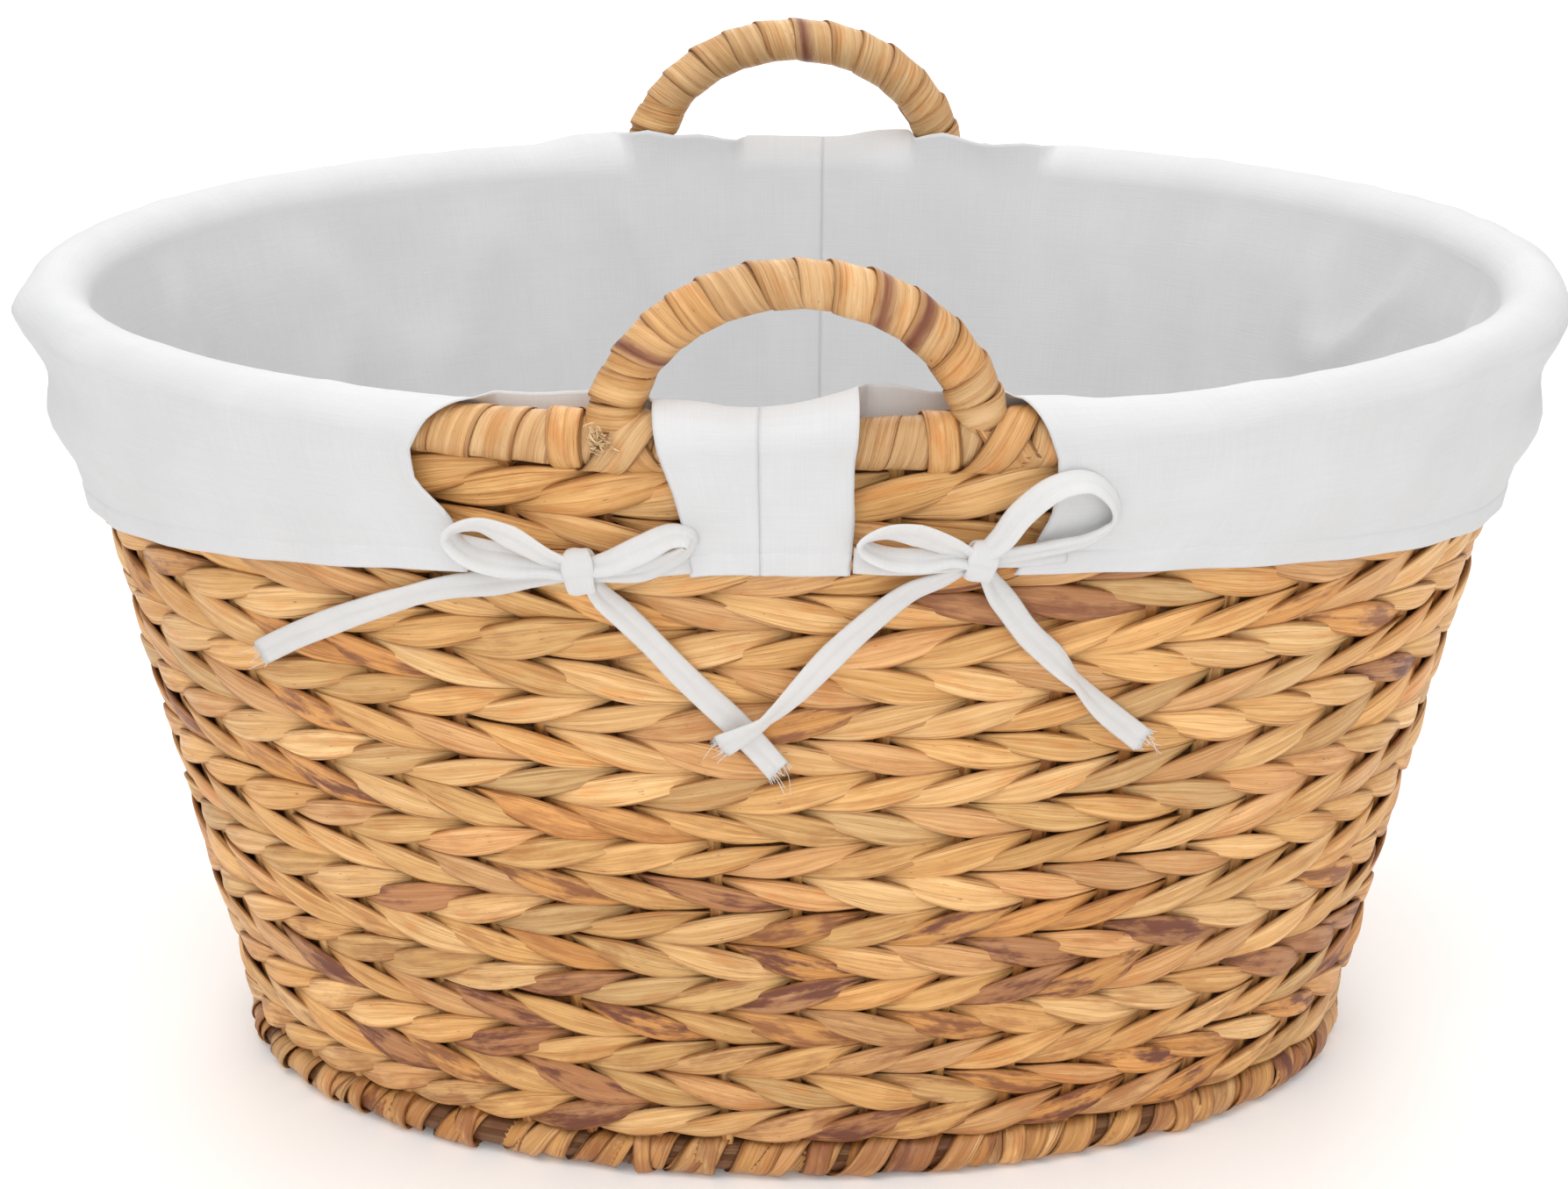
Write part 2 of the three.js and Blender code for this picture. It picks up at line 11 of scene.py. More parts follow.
import bpy
import numpy as np
from mathutils import Vector, noise
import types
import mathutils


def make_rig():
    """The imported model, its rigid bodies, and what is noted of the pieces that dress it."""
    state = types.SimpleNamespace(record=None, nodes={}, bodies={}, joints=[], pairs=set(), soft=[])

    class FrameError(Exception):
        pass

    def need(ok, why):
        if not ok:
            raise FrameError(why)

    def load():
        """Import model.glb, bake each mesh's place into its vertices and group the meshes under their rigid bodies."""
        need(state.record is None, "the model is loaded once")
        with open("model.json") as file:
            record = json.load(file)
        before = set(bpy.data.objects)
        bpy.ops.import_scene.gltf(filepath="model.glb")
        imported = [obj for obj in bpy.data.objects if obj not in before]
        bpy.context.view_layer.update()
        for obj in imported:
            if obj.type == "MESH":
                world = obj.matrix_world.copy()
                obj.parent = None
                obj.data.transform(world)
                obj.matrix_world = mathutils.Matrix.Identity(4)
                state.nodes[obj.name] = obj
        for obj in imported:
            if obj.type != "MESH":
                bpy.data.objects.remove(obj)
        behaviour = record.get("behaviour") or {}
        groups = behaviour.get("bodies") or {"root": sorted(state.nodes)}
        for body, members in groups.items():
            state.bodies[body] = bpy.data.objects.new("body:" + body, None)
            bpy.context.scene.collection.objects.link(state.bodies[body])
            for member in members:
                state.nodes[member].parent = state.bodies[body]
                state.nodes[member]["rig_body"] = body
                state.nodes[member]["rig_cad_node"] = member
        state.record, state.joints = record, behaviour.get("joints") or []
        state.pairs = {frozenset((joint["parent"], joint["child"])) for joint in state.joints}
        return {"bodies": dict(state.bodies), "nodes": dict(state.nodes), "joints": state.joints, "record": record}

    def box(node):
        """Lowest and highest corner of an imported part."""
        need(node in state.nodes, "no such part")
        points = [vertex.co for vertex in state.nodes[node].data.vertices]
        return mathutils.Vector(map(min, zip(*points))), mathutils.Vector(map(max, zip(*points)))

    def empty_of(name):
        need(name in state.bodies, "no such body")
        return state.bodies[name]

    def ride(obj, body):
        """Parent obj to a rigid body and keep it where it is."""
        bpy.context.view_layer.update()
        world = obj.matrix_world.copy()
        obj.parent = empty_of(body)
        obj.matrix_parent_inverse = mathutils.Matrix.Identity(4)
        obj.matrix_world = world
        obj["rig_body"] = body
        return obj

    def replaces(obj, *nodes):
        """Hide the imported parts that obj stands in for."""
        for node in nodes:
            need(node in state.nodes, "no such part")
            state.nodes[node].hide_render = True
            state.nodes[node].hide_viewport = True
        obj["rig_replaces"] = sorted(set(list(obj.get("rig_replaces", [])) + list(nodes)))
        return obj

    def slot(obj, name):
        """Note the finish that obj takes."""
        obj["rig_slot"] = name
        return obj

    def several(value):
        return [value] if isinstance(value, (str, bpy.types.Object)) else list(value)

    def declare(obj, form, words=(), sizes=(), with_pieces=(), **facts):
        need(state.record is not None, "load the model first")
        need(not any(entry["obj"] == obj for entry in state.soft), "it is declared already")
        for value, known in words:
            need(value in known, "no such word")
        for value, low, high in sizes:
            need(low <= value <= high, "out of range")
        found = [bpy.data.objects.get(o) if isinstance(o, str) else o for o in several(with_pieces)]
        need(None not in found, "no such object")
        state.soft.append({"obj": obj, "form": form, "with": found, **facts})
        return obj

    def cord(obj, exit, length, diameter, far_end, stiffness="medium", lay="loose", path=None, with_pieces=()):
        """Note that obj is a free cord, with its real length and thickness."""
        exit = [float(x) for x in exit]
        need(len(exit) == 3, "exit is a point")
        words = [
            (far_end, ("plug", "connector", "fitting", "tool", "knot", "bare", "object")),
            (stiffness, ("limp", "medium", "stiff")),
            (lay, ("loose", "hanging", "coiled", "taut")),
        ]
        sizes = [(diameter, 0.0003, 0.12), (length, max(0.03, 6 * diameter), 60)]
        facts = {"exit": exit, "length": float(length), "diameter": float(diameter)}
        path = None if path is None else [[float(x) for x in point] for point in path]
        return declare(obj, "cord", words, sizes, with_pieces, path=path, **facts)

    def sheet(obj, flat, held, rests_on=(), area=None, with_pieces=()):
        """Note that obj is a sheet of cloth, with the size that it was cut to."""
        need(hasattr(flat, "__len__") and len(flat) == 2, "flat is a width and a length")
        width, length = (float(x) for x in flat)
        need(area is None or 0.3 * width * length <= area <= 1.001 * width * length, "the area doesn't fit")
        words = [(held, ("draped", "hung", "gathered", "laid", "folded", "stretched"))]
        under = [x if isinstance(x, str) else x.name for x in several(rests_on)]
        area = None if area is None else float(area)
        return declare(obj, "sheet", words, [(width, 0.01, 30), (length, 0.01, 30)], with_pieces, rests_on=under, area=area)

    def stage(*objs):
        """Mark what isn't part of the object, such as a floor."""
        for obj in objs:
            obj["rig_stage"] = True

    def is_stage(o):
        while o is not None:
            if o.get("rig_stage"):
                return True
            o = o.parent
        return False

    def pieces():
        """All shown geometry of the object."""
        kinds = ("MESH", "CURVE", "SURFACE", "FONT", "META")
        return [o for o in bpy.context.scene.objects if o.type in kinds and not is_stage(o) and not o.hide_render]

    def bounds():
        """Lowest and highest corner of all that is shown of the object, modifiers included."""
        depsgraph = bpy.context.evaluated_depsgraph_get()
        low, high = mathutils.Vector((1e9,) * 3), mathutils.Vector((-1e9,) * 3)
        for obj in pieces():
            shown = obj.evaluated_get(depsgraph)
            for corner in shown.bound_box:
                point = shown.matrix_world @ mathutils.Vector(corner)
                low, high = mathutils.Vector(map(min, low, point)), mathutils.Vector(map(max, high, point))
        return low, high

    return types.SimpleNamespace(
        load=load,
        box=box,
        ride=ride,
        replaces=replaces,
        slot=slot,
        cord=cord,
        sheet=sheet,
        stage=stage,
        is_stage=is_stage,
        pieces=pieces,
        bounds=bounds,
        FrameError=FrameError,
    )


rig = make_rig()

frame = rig.load()
CAD_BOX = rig.bounds()
rng = np.random.default_rng(14)

# ---- sizes, from the frame

MM = 0.001
SEED_STEP = 17.3
STAKES = 44
ROWS = 19
ROLL_RADIUS = 9 * MM
SLEEVE_RADIUS = 8 * MM
WALL_FACE = 6.7 * MM
PANEL_EDGE = 5.5 * MM

RIM_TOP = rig.box("rim_wrap")[1]
RIM_HALF_LENGTH = RIM_TOP.x - ROLL_RADIUS
RIM_HALF_WIDTH = RIM_TOP.y - ROLL_RADIUS
RIM_HEIGHT = RIM_TOP.z - ROLL_RADIUS
PANEL_LOW, PANEL_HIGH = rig.box("base_panel")
FLOOR_HALF_LENGTH = PANEL_HIGH.x + PANEL_EDGE
FLOOR_HALF_WIDTH = PANEL_HIGH.y + PANEL_EDGE
FOOT_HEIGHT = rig.box("foot_border")[1].z
LINER_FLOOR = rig.box("liner_base_panel")[1].z

HANDLE_LOW, HANDLE_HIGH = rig.box("handle_wrap_front")
HANDLE_Y = -(HANDLE_LOW.y + HANDLE_HIGH.y) / 2
HANDLE_RISE = HANDLE_HIGH.z - RIM_HEIGHT - SLEEVE_RADIUS
HANDLE_HALF_SPAN = 58.5 * MM


def half_sizes(z):
    """The wall's half length and half width at a height. Both grow evenly from the floor to the rim."""
    share = (z - PANEL_LOW.z) / (RIM_HEIGHT - PANEL_LOW.z)
    length = FLOOR_HALF_LENGTH + (RIM_HALF_LENGTH - FLOOR_HALF_LENGTH) * share
    return length, FLOOR_HALF_WIDTH + (RIM_HALF_WIDTH - FLOOR_HALF_WIDTH) * share


def station_table():
    """Angles, and the stations that they stand at: even steps along the oval at half height."""
    angles = np.linspace(0, 2 * math.pi, 4001)
    length, width = half_sizes(RIM_HEIGHT / 2)
    steps = np.hypot(np.diff(length * np.cos(angles)), np.diff(width * np.sin(angles)))
    lengths = np.concatenate([[0], np.cumsum(steps)])
    return angles, lengths * STAKES / lengths[-1]


ANGLES, STATIONS = station_table()


def vectors(x, y, z):
    """Vectors from their three parts, each an array or a number."""
    return np.stack(np.broadcast_arrays(x, y, z), axis=-1)


def angle_at(station):
    return np.interp(np.mod(station, STAKES), STATIONS, ANGLES)


def wall_point(station, z, out=0.0):
    angle = angle_at(station)
    length, width = half_sizes(z)
    return vectors((length + out) * np.cos(angle), (width + out) * np.sin(angle), z)


def station_at(x, z=RIM_HEIGHT, out=0.0, front=True):
    """The station where the front, or the back, of the wall has this x."""
    angle = np.arccos(np.clip(x / (half_sizes(z)[0] + out), -1, 1))
    angle = 2 * math.pi - angle if front else angle
    return np.interp(angle, ANGLES, STATIONS)


def front_point(x, z, distance):
    """A point in front of the wall, that far from the leaves' outer face."""
    out = WALL_FACE + distance
    length, width = half_sizes(z)
    depth = (width + out) * math.sqrt(1 - (x / (length + out)) ** 2)
    return np.array([x, -depth, z])


def unit(vectors):
    return vectors / np.maximum(np.linalg.norm(vectors, axis=-1, keepdims=True), 1e-9)


def smooth_step(low, high, value):
    share = np.clip((value - low) / (high - low), 0, 1)
    return share * share * (3 - 2 * share)


def circle(count):
    """Even angles round a circle."""
    return np.linspace(0, 2 * math.pi, count, endpoint=False)


def bump(value, middle, width):
    """1 at the middle, falling smoothly to nothing about two widths away."""
    return np.exp(-(((value - middle) / width) ** 2))


def fuller(wave, power):
    """A sine or cosine wave made squarer by a power below 1."""
    return np.sign(wave) * np.abs(wave) ** power


def soft_noise(points, size, seed=0.0):
    """Smooth noise from -1 to 1 at each point, with lumps of about this size."""
    flat = np.asarray(points).reshape(-1, 3) / size + seed * SEED_STEP
    values = [noise.noise(Vector(point)) for point in flat]
    return np.array(values).reshape(np.asarray(points).shape[:-1])


def spline(points, per_span):
    """A smooth line through the points, as a Catmull-Rom curve."""
    points = np.asarray(points, float)
    ends = np.vstack([2 * points[0] - points[1], points, 2 * points[-1] - points[-2]])
    share = np.linspace(0, 1, per_span, endpoint=False)[:, None]
    line = []
    for a, b, c, d in zip(ends, ends[1:], ends[2:], ends[3:]):
        square = 2 * a - 5 * b + 4 * c - d
        cube = 3 * b - a - 3 * c + d
        line.append(0.5 * (2 * b + (c - a) * share + square * share**2 + cube * share**3))
    return np.vstack([*line, points[-1:]])


# ---- meshes


class Shape:
    """Grids and tubes of points, gathered into one mesh.

    Each point also has a strand (millimetres along and across its fibres, and the strand's own number), a
    tone (its colour, and how stained it is) and an edge value (0 in the strand's middle, 1 at its edge).
    """

    def __init__(self):
        self.points = []
        self.faces = []
        self.strand = []
        self.tone = []
        self.edge = []
        self.count = 0

    def add(self, grid, strand, tone, edge):
        shape = grid.shape[:2]
        self.points.append(grid.reshape(-1, 3))
        self.strand.append(np.broadcast_to(strand, (*shape, 3)).reshape(-1, 3))
        self.tone.append(np.broadcast_to(tone, (*shape, 4)).reshape(-1, 4))
        self.edge.append(np.broadcast_to(edge, shape).reshape(-1))
        index = self.count + np.arange(shape[0] * shape[1]).reshape(shape)
        self.count += shape[0] * shape[1]
        return index

    def sheet(self, grid, strand, tone=(1, 1, 1, 0), edge=0.0):
        index = self.add(grid, strand, tone, edge)
        quads = np.stack([index[:-1, :-1], index[:-1, 1:], index[1:, 1:], index[1:, :-1]], axis=-1)
        self.faces.extend(quads.reshape(-1, 4).tolist())

    def tube(self, rings, strand, tone=(1, 1, 1, 0), edge=0.0, looped=False):
        """A tube through rings of points. It is closed by caps, or is a loop."""
        index = self.add(rings, strand, tone, edge)
        beside = np.roll(index, -1, axis=1)
        after = np.roll(index, -1, axis=0)
        after_beside = np.roll(after, -1, axis=1)
        quads = np.stack([index, beside, after_beside, after], axis=-1)
        if not looped:
            quads = quads[:-1]
            self.faces.append(index[0][::-1].tolist())
            self.faces.append(index[-1].tolist())
        self.faces.extend(quads.reshape(-1, 4).tolist())

    def piece(self, name, material, slot, replaces=()):
        mesh = bpy.data.meshes.new(name)
        mesh.from_pydata(np.vstack(self.points).tolist(), [], self.faces)
        for attribute, kind, key, values in (
            ("strand", "FLOAT_VECTOR", "vector", self.strand),
            ("tone", "FLOAT_COLOR", "color", self.tone),
            ("edge", "FLOAT", "value", self.edge),
        ):
            layer = mesh.attributes.new(attribute, kind, "POINT")
            layer.data.foreach_set(key, np.concatenate(values).astype(np.float32).ravel())
        mesh.validate()
        mesh.shade_smooth()
        mesh.materials.append(material)
        piece = new_object(name, mesh)
        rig.ride(piece, "root")
        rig.slot(piece, slot)
        if replaces:
            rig.replaces(piece, *replaces)
        return piece


def new_object(name, data):
    item = bpy.data.objects.new(name, data)
    bpy.context.scene.collection.objects.link(item)
    return item


def line_frame(line, reference):
    """Unit vectors along a line and two ways across it, the first of them nearest the reference vectors."""
    along = unit(np.gradient(line, axis=0))
    side = unit(reference - along * np.sum(reference * along, axis=1, keepdims=True))
    return along, side, np.cross(along, side)


def rings_round(line, reference, count):
    """Rings of unit vectors round a line."""
    _, side, other = line_frame(line, reference)
    angles = circle(count)
    return side[:, None] * np.cos(angles)[:, None] + other[:, None] * np.sin(angles)[:, None]


# ---- materials


def set_inputs(tree, node, inputs):
    """Sets a node's inputs, or links those whose value is another node's output."""
    for socket, value in inputs.items():
        if isinstance(value, bpy.types.NodeSocket):
            tree.links.new(value, node.inputs[socket])
        else:
            node.inputs[socket].default_value = value


def add_node(tree, kind, inputs, **settings):
    node = tree.nodes.new(kind)
    for key, value in settings.items():
        setattr(node, key, value)
    set_inputs(tree, node, inputs)
    return node


def new_material(name):
    material = bpy.data.materials.new(name)
    material.use_nodes = True
    tree = material.node_tree
    tree.nodes.clear()
    shader = add_node(tree, "ShaderNodeBsdfPrincipled", {})
    output = add_node(tree, "ShaderNodeOutputMaterial", {"Surface": shader.outputs["BSDF"]})
    return material, tree, shader, output


def attribute(tree, name):
    return add_node(tree, "ShaderNodeAttribute", {}, attribute_name=name)


def mix(tree, factor, first, second, blend="MIX"):
    inputs = {0: factor, 6: first, 7: second}
    return add_node(tree, "ShaderNodeMix", inputs, data_type="RGBA", blend_type=blend).outputs[2]


def stretched_noise(tree, vector, scale, detail=2.0, roughness=0.5):
    """Noise in the strand's own directions: scale says how many lumps fit in a millimetre, each way."""
    scaled = add_node(tree, "ShaderNodeVectorMath", {0: vector, 1: scale}, operation="MULTIPLY")
    inputs = {"Vector": scaled.outputs[0], "Scale": 1.0, "Detail": detail, "Roughness": roughness}
    return add_node(tree, "ShaderNodeTexNoise", inputs).outputs["Fac"]


def ramp(tree, value, low, high, to_low=0.0, to_high=1.0):
    inputs = {"Value": value, "From Min": low, "From Max": high, "To Min": to_low, "To Max": to_high}
    return add_node(tree, "ShaderNodeMapRange", inputs, interpolation_type="SMOOTHSTEP").outputs[0]


def maths(tree, operation, first, second=0.0):
    return add_node(tree, "ShaderNodeMath", {0: first, 1: second}, operation=operation).outputs[0]


def relief(tree, height, strength, depth):
    """A bumped normal, depth in millimetres."""
    inputs = {"Height": height, "Strength": strength, "Distance": depth * MM}
    return add_node(tree, "ShaderNodeBump", inputs).outputs["Normal"]


STAIN = (0.18, 0.055, 0.027, 1)
FIBRE = (0.275, 0.095, 0.018, 1)


def straw_material(name, line_strength=0.42, gloss=0.5, dark_edge_and_shade=0.80):
    """Dried leaf: each strand has its own tone, with fibres, streaks and stains that run along it, and a dark brown
    rim at its edges and tips that is partly the leaf's own dark edge and partly painted shade where it tucks under its
    neighbours.
    """
    material, tree, shader, _ = new_material(name)
    strand = attribute(tree, "strand").outputs["Vector"]
    tone = attribute(tree, "tone")
    edge = attribute(tree, "edge").outputs["Fac"]

    streaks = stretched_noise(tree, strand, (0.016, 0.42, 5.3), 3.0, 0.55)
    lines = stretched_noise(tree, strand, (0.03, 1.15, 3.7), 3.0, 0.6)
    fine = stretched_noise(tree, strand, (0.06, 3.4, 8.1), 2.0, 0.6)
    blotches = stretched_noise(tree, strand, (0.055, 0.17, 9.1), 4.0, 0.62)
    specks = stretched_noise(tree, strand, (0.30, 0.95, 4.4), 2.0, 0.5)

    light = mix(tree, ramp(tree, streaks, 0.35, 0.68), (0.86, 0.77, 0.64, 1), (1.07, 1.07, 1.06, 1))
    colour = mix(tree, 1.0, tone.outputs["Color"], light, "MULTIPLY")
    warm = mix(tree, 1.0, colour, (1.03, 0.84, 0.66, 1), "MULTIPLY")
    colour = mix(tree, ramp(tree, blotches, 0.50, 0.72), colour, warm)
    colour = mix(tree, ramp(tree, fine, 0.62, 0.30, 0.0, 0.30), colour, FIBRE)
    nearer_edge = ramp(tree, edge, 0.35, 1.0, 0.6 * line_strength, 1.8 * line_strength)
    dark = maths(tree, "MULTIPLY", ramp(tree, lines, 0.45, 0.38), nearer_edge)
    colour = mix(tree, dark, colour, FIBRE)
    stained = maths(tree, "MULTIPLY", ramp(tree, blotches, 0.44, 0.62), tone.outputs["Alpha"])
    colour = mix(tree, stained, colour, STAIN)
    colour = mix(tree, ramp(tree, specks, 0.70, 0.78, 0.0, 0.6), colour, STAIN)
    # The dark brown rim at edges and tips: partly the leaf's own dark edge, partly painted shade where strands tuck
    # under their neighbours.
    dark_edge_and_shade_by_streak = ramp(tree, streaks, 0.30, 0.60, dark_edge_and_shade, 0.45)
    border = maths(tree, "MULTIPLY", ramp(tree, edge, 0.72, 0.99), dark_edge_and_shade_by_streak)
    colour = mix(tree, border, colour, FIBRE)

    rough = ramp(tree, streaks, 0.3, 0.7, gloss + 0.12, gloss - 0.08)
    height = maths(tree, "ADD", maths(tree, "MULTIPLY", streaks, 1.3), maths(tree, "MULTIPLY", lines, 0.8))
    height = maths(tree, "ADD", height, maths(tree, "MULTIPLY", fine, 0.18))
    normal = relief(tree, height, 0.75, 0.9)
    inputs = {"Base Color": colour, "Roughness": rough, "Specular IOR Level": 0.42, "Normal": normal}
    set_inputs(tree, shader, inputs)
    return material


def cotton_material(name, colour, thread, light_through):
    """Thin plain-woven cotton: uneven warp and weft threads, a soft nap and a little light through it."""
    material, tree, shader, output = new_material(name)
    strand = attribute(tree, "strand").outputs["Vector"]
    warp = stretched_noise(tree, strand, (thread, 0.035, 1.0), 2.0, 0.6)
    weft = stretched_noise(tree, strand, (0.035, thread, 1.0), 2.0, 0.6)
    cloud = stretched_noise(tree, strand, (0.03, 0.03, 1.0), 3.0, 0.5)
    weave = maths(tree, "ADD", warp, weft)
    shade = mix(tree, ramp(tree, weave, 0.80, 1.20), (0.97, 0.97, 0.972, 1), (1, 1, 1, 1))
    cloudy = mix(tree, ramp(tree, cloud, 0.35, 0.65), (0.975, 0.974, 0.970, 1), (1, 1, 1, 1))
    base = mix(tree, 1.0, colour, shade, "MULTIPLY")
    base = mix(tree, 1.0, base, cloudy, "MULTIPLY")
    normal = relief(tree, weave, 0.35, 0.25)
    inputs = {"Base Color": base, "Roughness": 0.9, "Specular IOR Level": 0.2, "Sheen Weight": 0.12}
    set_inputs(tree, shader, {**inputs, "Normal": normal})
    glow = add_node(tree, "ShaderNodeBsdfTranslucent", {"Color": base, "Normal": normal})
    parts = {0: light_through, 1: shader.outputs["BSDF"], 2: glow.outputs["BSDF"]}
    set_inputs(tree, output, {"Surface": add_node(tree, "ShaderNodeMixShader", parts).outputs[0]})
    return material


def cane_material(name, colour):
    """Split cane on the frame's own pieces, with grain in the object's directions."""
    material, tree, shader, _ = new_material(name)
    place = add_node(tree, "ShaderNodeTexCoord", {}).outputs["Object"]
    grain = stretched_noise(tree, place, (220, 220, 25), 4.0, 0.6)
    blotch = stretched_noise(tree, place, (30, 30, 12), 2.0, 0.5)
    base = mix(tree, ramp(tree, grain, 0.35, 0.65), tuple(0.62 * c for c in colour[:3]) + (1,), colour)
    base = mix(tree, ramp(tree, blotch, 0.5, 0.75, 0.0, 0.4), base, FIBRE)
    normal = relief(tree, grain, 0.4, 0.4)
    set_inputs(tree, shader, {"Base Color": base, "Roughness": 0.55, "Normal": normal})
    return material


WOVEN = straw_material("woven_straw")
WOUND = straw_material("wrapped_straw", 0.40, 0.45, 0.75)
FOOT = straw_material("foot_straw", 0.50, 0.38, 0.8)
MAT = straw_material("base_weave", 0.45, 0.6, 0.5)
CANE = cane_material("cane", (0.50, 0.30, 0.13, 1))
LINER = cotton_material("liner_cotton", (0.80, 0.80, 0.805, 1), 2.2, 0.16)
TAPE = cotton_material("tie_cotton", (0.88, 0.88, 0.875, 1), 2.6, 0.30)

# The leaves' colours, each with the share of leaves that have it, and how stained such a leaf may be.
LEAF_TONES = (
    ((0.84, 0.485, 0.185), 0.34, 0.15),
    ((0.89, 0.560, 0.250), 0.22, 0.08),
    ((0.78, 0.440, 0.190), 0.17, 0.15),
    ((0.76, 0.460, 0.180), 0.10, 0.20),
    ((0.68, 0.430, 0.185), 0.05, 0.10),
    ((0.74, 0.365, 0.115), 0.08, 0.75),
    ((0.52, 0.250, 0.110), 0.04, 1.00),
)


def leaf_tone(stained=0.0):
    """A random leaf colour, with its stain as the fourth value. stained makes dark leaves more common."""
    shares = np.array([share for _, share, _ in LEAF_TONES])
    shares[-2:] *= 1 + 1.6 * stained
    pick = rng.choice(len(LEAF_TONES), p=shares / shares.sum())
    colour, _, stain = LEAF_TONES[pick]
    light = rng.normal(1.03, 0.06)
    red = rng.normal(1.0, 0.02)
    stain = min(1.0, stain * rng.uniform(0.3, 1.3) + stained * rng.uniform(0.0, 0.5))
    return np.array([colour[0] * light * red, colour[1] * light, colour[2] * light / red, stain])


# ---- camera


CAMERA_PLACE = (-0.004, -1.3677, 0.6811)
CAMERA_TILT = 0.3581
SENSOR_WIDTH = 36
LENS = 91.48


def make_camera():
    data = bpy.data.cameras.new("camera")
    data.sensor_width = SENSOR_WIDTH
    data.lens = LENS
    camera = new_object("camera", data)
    camera.location = CAMERA_PLACE
    camera.rotation_euler = (math.pi / 2 - CAMERA_TILT, 0, 0)
    bpy.context.scene.camera = camera


# ---- ties

# Each tie's route, as in the CAD source: x, z and the distance from the wall's outer face, in metres, at the
# front, from its sewn end through the knot, round its loop, back through the knot and out to its frayed end.
FRONT_TIES = {
    "left_cuff_tie": [
        (-0.112, 0.248, 0.0045), (-0.100, 0.2465, 0.005), (-0.086, 0.245, 0.006), (-0.072, 0.2445, 0.0075),
        (-0.061, 0.247, 0.009), (-0.050, 0.253, 0.010), (-0.040, 0.2585, 0.0095), (-0.0335, 0.257, 0.0085),
        (-0.038, 0.2505, 0.0075), (-0.050, 0.2445, 0.0075), (-0.062, 0.243, 0.0085), (-0.074, 0.2415, 0.0075),
        (-0.087, 0.238, 0.0045), (-0.098, 0.235, 0.0035), (-0.112, 0.2315, 0.003), (-0.126, 0.226, 0.003),
        (-0.140, 0.219, 0.003), (-0.154, 0.211, 0.003), (-0.167, 0.2025, 0.003), (-0.180, 0.1925, 0.003),
    ],
    "left_tab_tie": [
        (-0.034, 0.248, 0.0045), (-0.046, 0.246, 0.005), (-0.057, 0.2445, 0.006), (-0.068, 0.2445, 0.0075),
        (-0.079, 0.248, 0.009), (-0.091, 0.255, 0.010), (-0.102, 0.258, 0.0095), (-0.111, 0.253, 0.0085),
        (-0.105, 0.246, 0.008), (-0.092, 0.2435, 0.008), (-0.079, 0.2435, 0.0085), (-0.068, 0.2415, 0.0075),
        (-0.062, 0.233, 0.0045), (-0.055, 0.226, 0.0035), (-0.046, 0.216, 0.003), (-0.037, 0.2055, 0.003),
        (-0.028, 0.196, 0.003), (-0.020, 0.1875, 0.003), (-0.013, 0.179, 0.003), (-0.006, 0.170, 0.003),
    ],
    "right_tab_tie": [
        (0.018, 0.2485, 0.0045), (0.030, 0.248, 0.005), (0.043, 0.248, 0.006), (0.055, 0.2485, 0.0075),
        (0.064, 0.255, 0.009), (0.071, 0.265, 0.010), (0.081, 0.273, 0.010), (0.092, 0.2745, 0.0095),
        (0.100, 0.2675, 0.009), (0.101, 0.259, 0.0085), (0.092, 0.253, 0.008), (0.079, 0.251, 0.008),
        (0.067, 0.2495, 0.0085), (0.057, 0.2475, 0.0075), (0.047, 0.241, 0.0045), (0.036, 0.236, 0.0035),
        (0.025, 0.227, 0.0035), (0.012, 0.214, 0.004), (-0.001, 0.199, 0.0055), (-0.010, 0.1905, 0.0075),
        (-0.017, 0.1855, 0.0078), (-0.024, 0.181, 0.0075),
    ],
    "right_cuff_tie": [
        (0.086, 0.249, 0.0045), (0.077, 0.248, 0.005), (0.068, 0.2475, 0.006), (0.058, 0.2485, 0.0075),
        (0.049, 0.254, 0.009), (0.038, 0.259, 0.010), (0.028, 0.260, 0.0095), (0.0205, 0.2555, 0.0085),
        (0.028, 0.2505, 0.008), (0.040, 0.249, 0.008), (0.050, 0.2495, 0.0085), (0.058, 0.2465, 0.0075),
        (0.063, 0.237, 0.0045), (0.068, 0.229, 0.0035), (0.075, 0.218, 0.003), (0.083, 0.209, 0.003),
        (0.091, 0.199, 0.003), (0.098, 0.190, 0.003), (0.106, 0.1815, 0.003), (0.115, 0.1725, 0.003),
    ],
}
TIE_LENGTHS = {"left_cuff_tie": 0.265, "left_tab_tie": 0.23, "right_tab_tie": 0.26, "right_cuff_tie": 0.215}
# How far each tie is turned about its own line, in degrees, at some of its route's points.
TIE_ROLLS = {
    "left_cuff_tie": {0: 0, 3: 35, 5: 15, 7: 70, 9: 15, 11: 40, 13: 0, 15: 25, 17: 0, 19: 8},
    "left_tab_tie": {0: 0, 3: 40, 5: 10, 7: 75, 9: 30, 11: 50, 12: 35, 14: 0, 16: 15, 19: 0},
    "right_tab_tie": {0: 0, 3: 40, 5: 25, 7: 55, 9: 60, 11: 25, 13: 45, 15: 25, 17: 0, 19: 55, 21: 10},
    "right_cuff_tie": {0: 0, 3: 40, 5: 20, 7: 70, 9: 30, 11: 50, 13: 0, 15: 10, 16: 60, 18: 10, 19: 0},
}
# Each bow's knot: its place, how far it leans to the right, and its height and width.
FRONT_KNOTS = {
    "left_bow": ((-0.069, 0.2435, 0.0078), -0.12, 0.0165, 0.0105),
    "right_bow": ((0.0585, 0.2478, 0.0078), 0.25, 0.0145, 0.0100),
}
TIE_WIDTH = 9 * MM
TIE_THICKNESS = 1.7 * MM
# A tie is pinched where its route goes through the knot, at least this far from the wall's outer face.
KNOT_DISTANCE = 7.5 * MM


